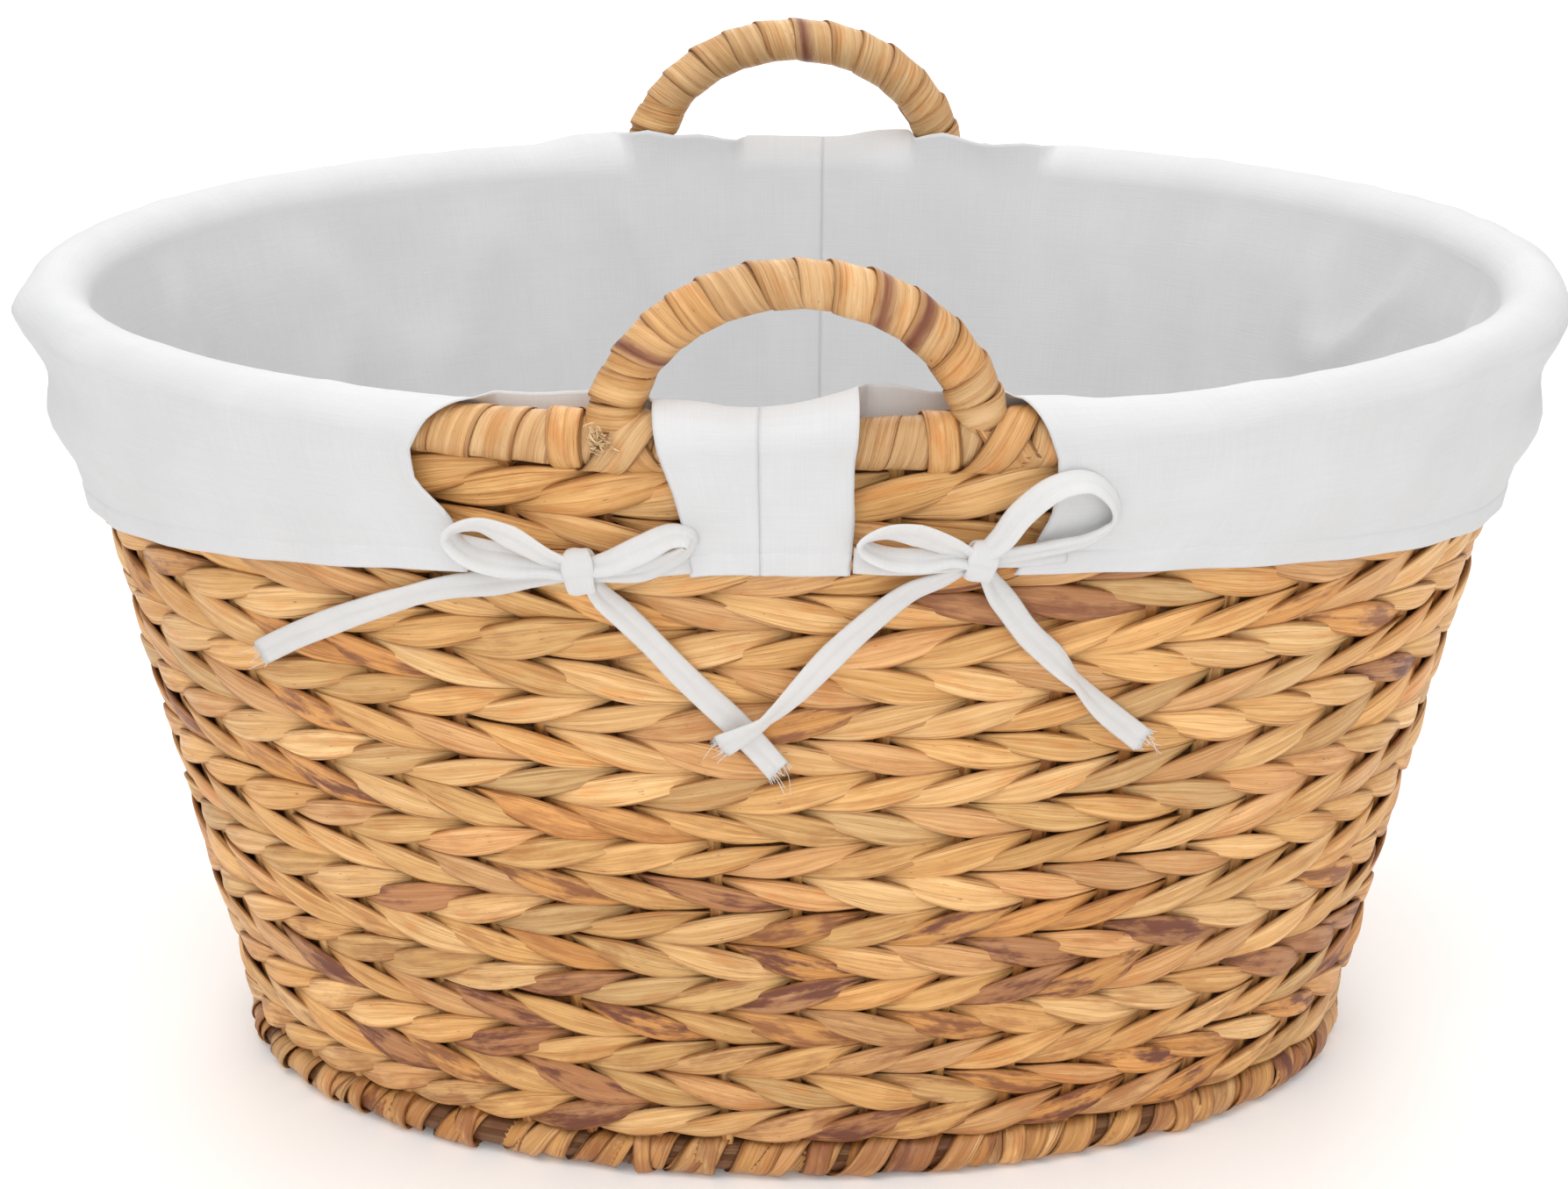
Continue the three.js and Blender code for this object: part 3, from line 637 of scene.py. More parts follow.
def turned(points, side):
    """The back's ties are the front's, turned half a turn about Z."""
    return points if side == "front" else points * np.array([-1, -1, 1])


def outward(points):
    """The level direction out of the wall at points near it."""
    length, width = half_sizes(points[:, 2])
    return unit(vectors(points[:, 0] / length**2, points[:, 1] / width**2, 0))


# A folded strip's section, 1 wide and 1 thick, going round it, with a crease along its middle.
TIE_ACROSS = np.array([-0.5, -0.43, -0.25, -0.08, 0.0, 0.08, 0.25, 0.43])
TIE_THROUGH = np.array([0.0, 0.375, 0.5, 0.425, 0.225, 0.425, 0.5, 0.375])


def make_tie(side, name):
    """One tie's cloth with its frayed end, and the line that it follows."""
    route, rolls = FRONT_TIES[name], TIE_ROLLS[name]
    line = spline([front_point(*point) for point in route], 6)
    share = np.linspace(0, len(route) - 1, len(line))
    roll = np.interp(share, list(rolls), [math.radians(angle) for angle in rolls.values()])
    line = turned(line, side)
    along, face, across = line_frame(line, outward(line))
    turn, lean = np.cos(roll)[:, None], np.sin(roll)[:, None]
    width_way = across * turn + face * lean
    face_way = face * turn - across * lean
    knots = [index for index in (3, 10, 11, 13) if route[index][2] >= KNOT_DISTANCE]
    pinch = np.exp(-((share[:, None] - np.array(knots)) ** 2) / 0.8).max(axis=1)
    seed = rng.uniform(0, 40)
    width = TIE_WIDTH * (1 - 0.32 * pinch + 0.06 * soft_noise(line, 20 * MM, seed))
    puff = TIE_THICKNESS * (1 + 0.5 * pinch + 0.25 * soft_noise(line, 11 * MM, seed + 1))
    offsets = np.concatenate([TIE_ACROSS, -TIE_ACROSS])
    depths = np.concatenate([TIE_THROUGH, -TIE_THROUGH])
    rings = (
        line[:, None]
        + width_way[:, None] * (offsets * width[:, None])[..., None]
        + face_way[:, None] * (depths * puff[:, None])[..., None]
    )
    travel = np.concatenate([[0], np.cumsum(np.linalg.norm(np.diff(line, axis=0), axis=1))]) / MM
    ragged = 1.2 * MM * rng.uniform(-1, 1, len(offsets))
    rings[-1] += along[-1] * ragged[:, None]
    shape = Shape()
    shape.tube(rings, vectors(offsets * TIE_WIDTH / MM, travel[:, None], seed))
    tie = shape.piece(f"{side}_{name}_cloth", TAPE, "tie_cotton", [f"{side}_{name}"])
    fray = make_fray(side, name, line[-1], along[-1], width_way[-1], face_way[-1])
    return tie, fray, line


ANY_WAY = np.array([[0.3, 0.2, 1.0]])


def thread(shape, points, radius, seed, tone=(1, 1, 1, 0)):
    """A thin thread through these points."""
    line = spline(points, 4)
    taper = np.linspace(1, 0.6, len(line))[:, None, None]
    rings = line[:, None] + rings_round(line, ANY_WAY, 5) * radius * taper
    shape.tube(rings, np.array([0.0, 0.0, seed]), tone)


def make_fray(side, name, end, along, across, face):
    """The loose threads at a tie's raw end: many short ones and a few long ones."""
    shape = Shape()
    lengths = np.concatenate([rng.uniform(1.2, 3.0, 16), rng.uniform(5, 11, 3)]) * MM
    for reach in lengths:
        start = end + across * rng.uniform(-0.47, 0.47) * TIE_WIDTH - along * 1.5 * MM
        lean = across * rng.uniform(-0.5, 0.5) + face * rng.uniform(0.0, 0.25)
        middle = start + along * 0.5 * (reach + 1.5 * MM) + lean * 0.25 * reach
        tip = start + along * (reach + 1.5 * MM) + lean * reach + face * rng.uniform(-0.5, 0.8) * MM
        thread(shape, [start, middle, tip], rng.uniform(0.13, 0.22) * MM, rng.uniform(0, 30))
    return shape.piece(f"{side}_{name}_fray", TAPE, "tie_cotton")


def make_knot(side, name, place, lean, height, width):
    """A bow's knot: a band of cloth that wraps over the ties and is drawn tight, with two creases."""
    middle = turned(front_point(*place)[None], side)
    out = outward(middle)[0]
    level = np.cross([0, 0, 1], out)
    up = np.array([0, 0, 1.0]) * math.cos(lean) + level * math.sin(lean)
    level = np.cross(up, out)
    angles = circle(28)
    around = circle(14)
    rings = []
    for angle in angles:
        centre = middle[0] + out * 2.9 * MM * math.cos(angle) + up * (height / 2 - 1.4 * MM) * math.sin(angle)
        radial = unit(out * math.cos(angle) * height / 2 + up * math.sin(angle) * 5 * MM)
        squeeze = 0.78 + 0.22 * abs(math.cos(angle)) + 0.06 * math.sin(3 * angle)
        offsets = fuller(np.cos(around), 0.8) * width / 2 * squeeze
        place = offsets / width * 5
        crease = 0.45 * np.exp(-3 * (place - 0.8) ** 2) + 0.3 * np.exp(-4 * (place + 1) ** 2)
        lift = np.sin(around) * (1 - crease * (np.sin(around) > 0)) * 1.5 * MM
        rings.append(centre + level[None] * offsets[:, None] + radial * lift[:, None])
    strand = vectors(np.cos(around) * width / 2 / MM, (angles * height / 2 / MM)[:, None], 0)
    shape = Shape()
    shape.tube(np.array(rings), strand, looped=True)
    return shape.piece(f"{side}_{name}_knot", TAPE, "tie_cotton", [f"{side}_{name}"])


def make_ties():
    for side in ("front", "back"):
        knots = {name: make_knot(side, name, *knot) for name, knot in FRONT_KNOTS.items()}
        for name, length in TIE_LENGTHS.items():
            cloth, fray, line = make_tie(side, name)
            pieces = [fray]
            if name.endswith("cuff_tie"):
                pieces.append(knots[name.split("_")[0] + "_bow"])
            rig.cord(
                cloth, exit=line[0], length=length, diameter=TIE_WIDTH, far_end="bare",
                stiffness="limp", lay="hanging", path=line, with_pieces=pieces,
            )


# ---- woven wall

LEAF_LENGTH = 56
LEAF_STEPS = 17
OUTER_SECTION = 14
INNER_SECTION = 6
STAKE_GAP = 27 * MM
HOOP_RADIUS = 5.5 * MM


def leaf_edges(share):
    """A falling leaf's two long edges, as heights in row heights, from its left tip (-1) to its right (1)."""

    def edge(way):
        return -0.5 + 0.93 * np.clip((0.34 - way) / 1.34, 0, 1) ** 1.6 + 0.07 * np.clip(way, 0, 1) ** 2

    return edge(share), -edge(-share)


def add_leaf(shape, station, middle, height, rising, outer, stained):
    """One leaf of a twined row, from behind the stake on its left to behind the stake on its right."""
    share = np.linspace(-1, 1, LEAF_STEPS)
    reach = rng.uniform(1.02, 1.14)
    low, high = leaf_edges(share)
    if rising:
        low, high = -high, -low
    wide = rng.uniform(1.02, 1.27)
    size = height * wide
    low = low * size + rng.normal(0, 0.35) * MM
    high = high * size + rng.normal(0, 0.35) * MM
    centre, half = (low + high) / 2, np.maximum((high - low) / 2, 0.25 * MM)
    half = half * rng.uniform(0.93, 1.04)
    around = circle(OUTER_SECTION if outer else INNER_SECTION)
    across = fuller(np.cos(around), 0.75)
    bulge = fuller(np.sin(around), 0.5)
    crown = rng.uniform(1.0, 1.5) * MM * (0.35 + 0.65 * np.cos(share * math.pi / 2))
    body = np.where(bulge > 0, bulge * crown[:, None], bulge * 1.4 * MM)
    crest = (4.6 + 3 * (wide - 1.02) + rng.normal(0, 0.3)) * MM
    rise = np.cos(share * math.pi / 2) ** 0.85
    tilt = -share * rng.uniform(-0.2, 0.9) * MM
    twist = rng.normal(0, 0.5) * MM
    fold_place = rng.uniform(-0.6, 0.6)
    fold = rng.choice([0.0, 0.5, 0.9], p=[0.5, 0.3, 0.2]) * MM
    groove = -fold * bump(across, fold_place, 0.22) * (bulge > 0)
    out = (0.4 * MM + crest * rise + tilt)[:, None] + body + twist * across + groove * rise[:, None]
    z = middle + centre[:, None] + half[:, None] * across
    if not outer:
        out = -0.75 * out
    back_face = np.where(bulge < 0, 20, 0)
    strand = vectors(share[:, None] * LEAF_LENGTH / 2, across * 6 + back_face, rng.uniform(0, 60))
    rings = wall_point(station + share[:, None] * reach, z, out)
    # The tips count as edge, so they take the painted shade where a leaf goes under its neighbour.
    tip = np.clip((np.abs(share) - 0.55) / 0.45, 0, 1)[:, None]
    edge = np.maximum(np.abs(across), tip)
    shape.tube(rings if outer else rings[:, ::-1], strand, leaf_tone(stained), edge)


def make_weave():
    """The rows of falling and rising leaves, outside and inside. The lower rows are more stained."""
    for row in range(ROWS):
        name = f"weave_row_{row + 1:02d}"
        low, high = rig.box(name)
        top = high.z + (3.5 * MM if row == ROWS - 1 else 0)
        middle, height = (low.z + top) / 2, top - low.z
        stained = float(np.interp(row, [0, 4, 7, ROWS], [0.9, 0.7, 0.15, 0.0]))
        shape = Shape()
        for station in range(STAKES):
            add_leaf(shape, station, middle, height, row % 2 == 0, True, stained)
        for station in range(STAKES):
            add_leaf(shape, station, middle, height, row % 2 == 1, False, 0.3)
        shape.piece(f"{name}_leaves", WOVEN, "woven_straw", [name])


def add_stake(shape, station):
    """A flat stake, which shows in small gaps between the leaves."""
    heights = np.linspace(PANEL_LOW.z, RIM_HEIGHT, 60)
    half = rng.uniform(2.4, 3.0) * MM
    face = rng.uniform(2.4, 3.4) * MM
    across = np.array([-1, -0.8, 0, 0.8, 1, 0])
    through = np.array([0.2, 0.9, 1.0, 0.9, 0.2, -0.5])
    sway = soft_noise(vectors(heights, 0, station), 0.05) * 0.6 * MM
    stations = station + (across * half + sway[:, None]) / STAKE_GAP
    rings = wall_point(stations, heights[:, None], through * face)
    strand = vectors((heights / MM)[:, None], across * 2.5, station)
    tone = leaf_tone(0.2) * np.array([0.92, 0.9, 0.85, 1])
    shape.tube(rings[:, ::-1], strand, tone, np.abs(across))


def make_stakes():
    """The stakes, and the hoop inside the rim that they are lashed to."""
    shape = Shape()
    for station in range(STAKES):
        add_stake(shape, station)
    stations = np.linspace(0, STAKES, 4 * STAKES, endpoint=False)[:, None]
    around = circle(10)
    rings = wall_point(stations, RIM_HEIGHT + HOOP_RADIUS * np.sin(around), HOOP_RADIUS * np.cos(around))
    strand = vectors(stations * 30, around * HOOP_RADIUS / MM, 0)
    shape.tube(rings, strand, np.array([0.5, 0.3, 0.13, 0.2]), looped=True)
    shape.piece("stakes_and_hoop", WOVEN, "cane", ["stake_cage"])


# ---- wound leaf bands


MAROON = np.array([0.19, 0.045, 0.03, 0.9])
STREAK_POINT = 2
STEPS_PER_TURN = 22
# The cores' colours under the bands: dark as painted shade, where little light comes between the turns.
CORE_SHADE_TONE = np.array([0.30, 0.16, 0.06, 0.3])
FOOT_CORE_SHADE_TONE = np.array([0.20, 0.10, 0.04, 0.6])


def wind(shape, line, reference, radius, width, turns, tones, way=1, overlap=0.6, rough=0.25, streaks=()):
    """A leaf band wound round a line. Each turn lies with one edge over its neighbour.

    The turns are unevenly long, and the band is wider where they are longer. way is 1 or -1, for the screw's
    hand. The turns numbered in streaks have a maroon streak.
    """
    along, side, other = line_frame(line, reference)
    turn = np.arange(int(turns * STEPS_PER_TURN) + 1) / STEPS_PER_TURN
    numbers = np.arange(int(turns) + 3)
    pitches = rng.uniform(0.78, 1.22, len(numbers))
    reached = np.interp(turn, numbers, np.concatenate([[0], np.cumsum(pitches)[:-1]]))
    place = reached / reached[-1] * (len(line) - 1)
    index = np.minimum(place.astype(int), len(line) - 2)
    part = (place - index)[:, None]

    def at(values):
        return values[index] * (1 - part) + values[index + 1] * part

    centre, along, side, other = at(line), unit(at(along)), unit(at(side)), unit(at(other))
    angle = math.pi + way * 2 * math.pi * turn
    radial = side * np.cos(angle)[:, None] + other * np.sin(angle)[:, None]
    sway = np.interp(turn, numbers, rng.normal(0, rough, len(numbers))) * MM
    path = centre + radial * (radius + sway * 0.6)[:, None]
    across = unit(np.cross(radial, unit(np.gradient(path, axis=0))))
    wide = width * np.interp(turn, numbers, pitches * rng.normal(1, 0.04, len(numbers)))
    offsets = np.array([-1.0, -0.93, -0.6, 0.0, 0.6, 1.0, 0.6, -0.6])
    lifts = np.array([0.55, 1.0, 1.05, 0.75, 0.42, 0.0, -0.3, 0.1]) * overlap * 1.25 * MM
    rings = (
        path[:, None]
        + across[:, None] * (offsets * wide[:, None] / 2 + sway[:, None])[..., None]
        + radial[:, None] * lifts[:, None]
    )
    travel = (turn * 2 * math.pi * radius / MM)[:, None]
    strand = vectors(travel, offsets * width / 2 / MM, np.floor(turn / 3)[:, None] * 7.7)
    picked = np.array([tones() for _ in numbers])
    tone = np.repeat(picked[turn.astype(int)][:, None], len(offsets), axis=1)
    tone[np.isin(turn.astype(int), streaks), STREAK_POINT] = MAROON
    # The edge value darkens each band towards its edges: partly the leaf's own dark edge, partly painted shade where
    # the turns overlap.
    shape.tube(rings, strand, tone, np.abs(offsets))


def core(shape, line, reference, radius, tone=CORE_SHADE_TONE):
    """A plain round core under the bands, by default in the dark colour of painted shade."""
    strand = vectors(np.arange(len(line))[:, None] * 4, circle(14) * radius / MM, 0)
    shape.tube(line[:, None] + rings_round(line, reference, 14) * radius, strand, tone)


BAND_SHADE = np.array([0.80, 0.80, 0.86, 0.7])


def band_tones(shade=1.0):
    """Colours for wound bands: neighbours are alike, because one leaf makes several turns."""
    state = {"tone": leaf_tone(), "left": 0}

    def tone():
        if state["left"] <= 0:
            state["tone"] = leaf_tone() * BAND_SHADE
            while state["tone"][0] < 0.7:
                state["tone"] = leaf_tone() * BAND_SHADE
            state["left"] = rng.integers(1, 5)
        state["left"] -= 1
        return state["tone"] * np.array([*[shade * rng.normal(1, 0.03)] * 3, 1])

    return tone


def rim_line(start, end, z=RIM_HEIGHT, out=0.0, step=0.1):
    """A line along the wall from one station to another, and the way out of the wall along it."""
    stations = np.linspace(start, end, max(3, int(abs(end - start) / step)))
    line = wall_point(stations, z, out)
    return line, outward(line)


def make_rim():
    shape = Shape()
    line, out = rim_line(0, STAKES)
    core(shape, line, out, 7.2 * MM)
    wind(shape, line, out, 7.9 * MM, 15.5 * MM, 106, band_tones(0.88), way=-1, rough=0.4)
    shape.piece("rim_bands", WOUND, "wrapped_straw", ["rim_wrap"])


def handle_line(side):
    """The arch of a handle from left to right, and the way out of the arch along it."""
    y = -HANDLE_Y if side == "front" else HANDLE_Y
    start = math.asin(3 * MM / HANDLE_RISE)
    angles = np.linspace(math.pi - start, start, 90)
    x = HANDLE_HALF_SPAN * np.cos(angles)
    z = RIM_HEIGHT + HANDLE_RISE * np.sin(angles)
    return vectors(x, y, z), vectors(np.cos(angles), 0, np.sin(angles))


def make_handle(side, streaks):
    shape = Shape()
    line, away = handle_line(side)
    core(shape, line, away, 6.6 * MM)
    wind(shape, line, away, 7.5 * MM, 15.0 * MM, 14, band_tones(), rough=0.4, streaks=streaks)
    shape.piece(f"handle_bands_{side}", WOUND, "wrapped_straw", [f"handle_wrap_{side}"])


# The lashing's bands round the rim roll: how far each stands along the rim from the leg and how far it
# travels in its one turn, in stations, and its radius and width in millimetres. A travel below zero leans it
# the other way.
LASHING = (
    (-0.42, 0.10, 9.3, 11.0),
    (0.62, -0.40, 9.2, 12.0),
    (0.22, 1.10, 8.8, 13.0),
    (0.14, -1.30, 9.9, 12.5),
)


def make_binding(side, hand):
    """The lashing of a handle's leg to the rim: bands that cross beside the leg, and a few turns on it."""
    front = side == "front"
    x = -HANDLE_HALF_SPAN if hand == "left" else HANDLE_HALF_SPAN
    foot = float(station_at(x, front=front))
    shape = Shape()
    tones = band_tones()
    for shift, travel, radius, width in LASHING:
        centre = foot + shift
        line, out = rim_line(centre - abs(travel) / 2, centre + abs(travel) / 2, step=0.02)
        way = 1 if travel > 0 else -1
        wind(shape, line, out, radius * MM, width * MM, 1.0, tones, way=way, rough=0.2)
    leg, away = handle_line(side)
    near = slice(0, 14) if hand == "left" else slice(-14, None)
    wind(shape, leg[near], away[near], 8.2 * MM, 10 * MM, 2.4, tones, overlap=0.8, rough=0.3)
    if (side, hand) == ("front", "left"):
        make_tuft(shape, wall_point(foot - 0.01, RIM_HEIGHT + 3 * MM, 11 * MM))
    shape.piece(f"binding_{side}_{hand}", WOUND, "wrapped_straw", [f"handle_binding_{side}_{hand}"])


def make_tuft(shape, middle):
    """A frayed spot: the short broken fibres of a band's end."""
    for _ in range(46):
        root = middle + rng.normal(0, 1.0, 3) * np.array([1.8, 0.3, 2.6]) * MM
        way = unit(rng.normal(0, 1, 3) * np.array([1, 0.5, 1]) + np.array([0, -0.5, 0.2]))
        tip = root + way * rng.uniform(1.5, 4.0) * MM
        bend = (root + tip) / 2 + rng.normal(0, 0.4, 3) * MM
        pale = np.array([0.86, 0.66, 0.40, 0.1]) * rng.uniform(0.7, 1.05)
        thread(shape, [root, bend, tip], rng.uniform(0.25, 0.5) * MM, rng.uniform(0, 30), pale)


# ---- foot and floor


def make_foot():
    """The border round the foot: a thick roll wound in slanting turns, with loops round the stakes' ends."""
    shape = Shape()
    middle = FOOT_HEIGHT / 2
    line, out = rim_line(0, STAKES, middle, 1.2 * MM)
    core(shape, line, out, 5.6 * MM, FOOT_CORE_SHADE_TONE)

    def tones():
        return leaf_tone(0.8) * np.array([0.86, 0.80, 0.74, 1])

    wind(shape, line, out, 5.6 * MM, 13 * MM, 58, tones, way=-1, overlap=0.9, rough=0.9)
    wind(shape, line, out, 6.1 * MM, 9.5 * MM, 37, tones, way=-1, overlap=0.9, rough=1.2)
    for station in range(STAKES):
        for _ in range(rng.integers(0, 3)):
            place = station + rng.uniform(-0.4, 0.4)
            travel = rng.uniform(-0.1, 0.5)
            half = abs(travel) / 2
            line, out = rim_line(place - half, place + half, middle, 1.2 * MM, step=0.05)
            radius, width = rng.uniform(6.3, 7.3) * MM, rng.uniform(6, 9) * MM
            way = 1 if travel < 0 else -1
            wind(shape, line, out, radius, width, 1.0, tones, way=way, overlap=0.9, rough=0.5)
    shape.piece("foot_bands", FOOT, "foot_straw", ["foot_border"])


MAT_PITCH = 9.5 * MM
MAT_SECTION = np.array([(-1, 0), (-0.8, 0.8), (0, 1), (0.8, 0.8), (1, 0), (0.8, -0.8), (0, -1), (-0.8, -0.8)])


def add_strip(shape, way, offset, span, phase):
    """A strip of the mat along X (way 0) or Y (way 1), which goes over and under the strips across it."""
    other = 1 - way
    along = np.linspace(-span, span, max(4, int(span * 2 / (MAT_PITCH / 3))))
    rings = np.zeros((len(along), len(MAT_SECTION), 3))
    rings[..., way] = along[:, None]
    rings[..., other] = offset + MAT_SECTION[:, 0] * 0.46 * MAT_PITCH
    level = (PANEL_LOW.z + PANEL_HIGH.z) / 2
    wave = np.cos(math.pi * (along / MAT_PITCH + phase))
    rings[..., 2] = (level + 1.0 * MM * wave)[:, None] + MAT_SECTION[:, 1] * 0.6 * MM
    strand = vectors((along / MM)[:, None], MAT_SECTION[:, 0] * 4.4, rng.uniform(0, 60))
    tone = leaf_tone(0.2) * np.array([0.9, 0.86, 0.8, 1])
    shape.tube(rings, strand, tone, np.abs(MAT_SECTION[:, 0]))


def make_mat():
    """The plain woven floor."""
    shape = Shape()
    reach = (PANEL_HIGH.x, PANEL_HIGH.y)
    for way in (0, 1):
        across = reach[1 - way]
        count = int(2 * across / MAT_PITCH)
        for number in range(count):
            offset = (number - (count - 1) / 2) * MAT_PITCH
            span = reach[way] * math.sqrt(max(0.0, 1 - (offset / across) ** 2)) - 1 * MM
            if span >= MAT_PITCH:
                add_strip(shape, way, offset, span, number + (0.5 if count % 2 == 0 else 0) + way)
    shape.piece("floor_mat", MAT, "base_weave", ["base_panel"])


# ---- liner

CLOTH_RADIUS = 10.2 * MM
HEM_HEIGHT = 243 * MM
HEM_DROP = 28 * MM
SEAM_X = -12 * MM
CELL = 5 * MM
STITCH = 8 * MM
STATION_LENGTH = 31 * MM
QUARTER_ROLL = math.pi / 2 * CLOTH_RADIUS
# The heights above the hem where the cuff has points: shares of the way up, and places near the hem.
CUFF_SHARES = np.array([0.96, 0.9, 0.83, 0.76, 0.69, 0.62, 0.55, 0.48, 0.41, 0.34, 0.28, 0.24])
HEM_PLACES = np.array([9.0, 8.4, 8.0, 7.6, 7.0, 4.5, 2.0, 0.7, 0.0]) * MM
# The left panel's cut edges, as the x of each edge at even steps from the rim's crest down to the hem: at the
# front, and at the back, where the half-turned panel has the right cuff's edge.
FRONT_TAB_EDGE = np.array([-46.5, -44.5, -42, -39, -37, -35.5, -35]) * MM
FRONT_CUFF_EDGE = np.array([-108, -117, -123, -122.5, -113, -110, -110]) * MM
BACK_CUFF_EDGE = np.array([-73, -78, -82.5, -83, -82, -78, -72]) * MM
BACK_TAB_EDGE = np.array([-19.5, -19, -18, -18, -18.5, -18, -17.5]) * MM
# The loose cut edges between tab and cuffs: their heights over the rim's middle, in millimetres, at some
# distances from the middle of the side, for each panel at its front and at its back. They stand up behind the
# handles' legs.
LOOSE_PLACES = np.array([18, 35, 48, 58.5, 70, 110]) * MM
LOOSE_HEIGHTS = {
    "left_side_cloth": ((11, 11, 12, 13, 11, 10.2), (12, 14.5, 15.5, 18.5, 15.5, 13)),
    "right_side_cloth": ((13, 13.5, 14.5, 16.5, 14.5, 12), (16, 14, 12.5, 14, 12.5, 11)),
}


def edge_stations(edge, front):
    """A function from the share of the way from crest to hem to the station of this cut edge."""
    dense = np.linspace(0, 1, 41)
    x = np.interp(dense, np.linspace(0, 1, len(edge)), edge)
    stations = station_at(x, out=CLOTH_RADIUS, front=front)
    return lambda share: np.interp(share, dense, stations)


def cuff_swell(share, station, seed):
    """How far the cuff stands off the wall: it is drawn in below the rim, and full again above the hem."""
    ends = np.abs(np.cos(angle_at(station))) ** 3
    waves = 3.4 * bump(share, 0.20, 0.13) - 1.2 * bump(share, 0.42, 0.10)
    waves = waves + 3.0 * bump(share, 0.64, 0.12) - 1.0 * bump(share, 0.84, 0.07)
    points = vectors(station * 0.9, share * 1.6, seed)
    lumps = soft_noise(points, 1.0, seed)
    fine = soft_noise(points * np.array([2.2, 1.6, 1]), 1.0, seed + 4)
    return (waves * ends * (1 + 0.6 * lumps) + 1.5 * lumps + 0.7 * fine + 1.0) * MM


def wall_swell(station, z, seed):
    """Soft folds of the cloth inside the basket: mostly upright, and deeper towards the ends."""
    angle = angle_at(station)
    ends = np.abs(np.cos(angle)) ** 2
    fan = station - 13 * (RIM_HEIGHT - z) * np.sin(2 * angle)
    lumps = soft_noise(vectors(fan * 0.55, z * 5, seed), 1.0, seed)
    broad = soft_noise(vectors(station * 0.35, z * 9, seed), 1.0, seed + 2)
    ridges = np.clip(1 - 6 * np.abs(lumps), 0, 1) ** 1.5
    return (3.8 * ridges * (0.15 + ends) + 3.0 * lumps * ends + 1.4 * broad) * MM


def tab_lift(name, x, front):
    """How far a tab's crest stands over the rim roll: it rises to its right corner, as seen from its side."""
    if front != (name == "left_side_cloth"):
        return 0 * x
    if front:
        return 2.3 * MM * np.clip((x - FRONT_TAB_EDGE[0]) / (SEAM_X - FRONT_TAB_EDGE[0]), 0, 1)
    share = np.clip((-SEAM_X - x) / (-SEAM_X - BACK_TAB_EDGE[0]), 0, 1)
    beyond = np.minimum(x - BACK_TAB_EDGE[0], 0)
    return (2.3 + 7.5 * share**1.8) * MM * np.exp(beyond / (8 * MM))


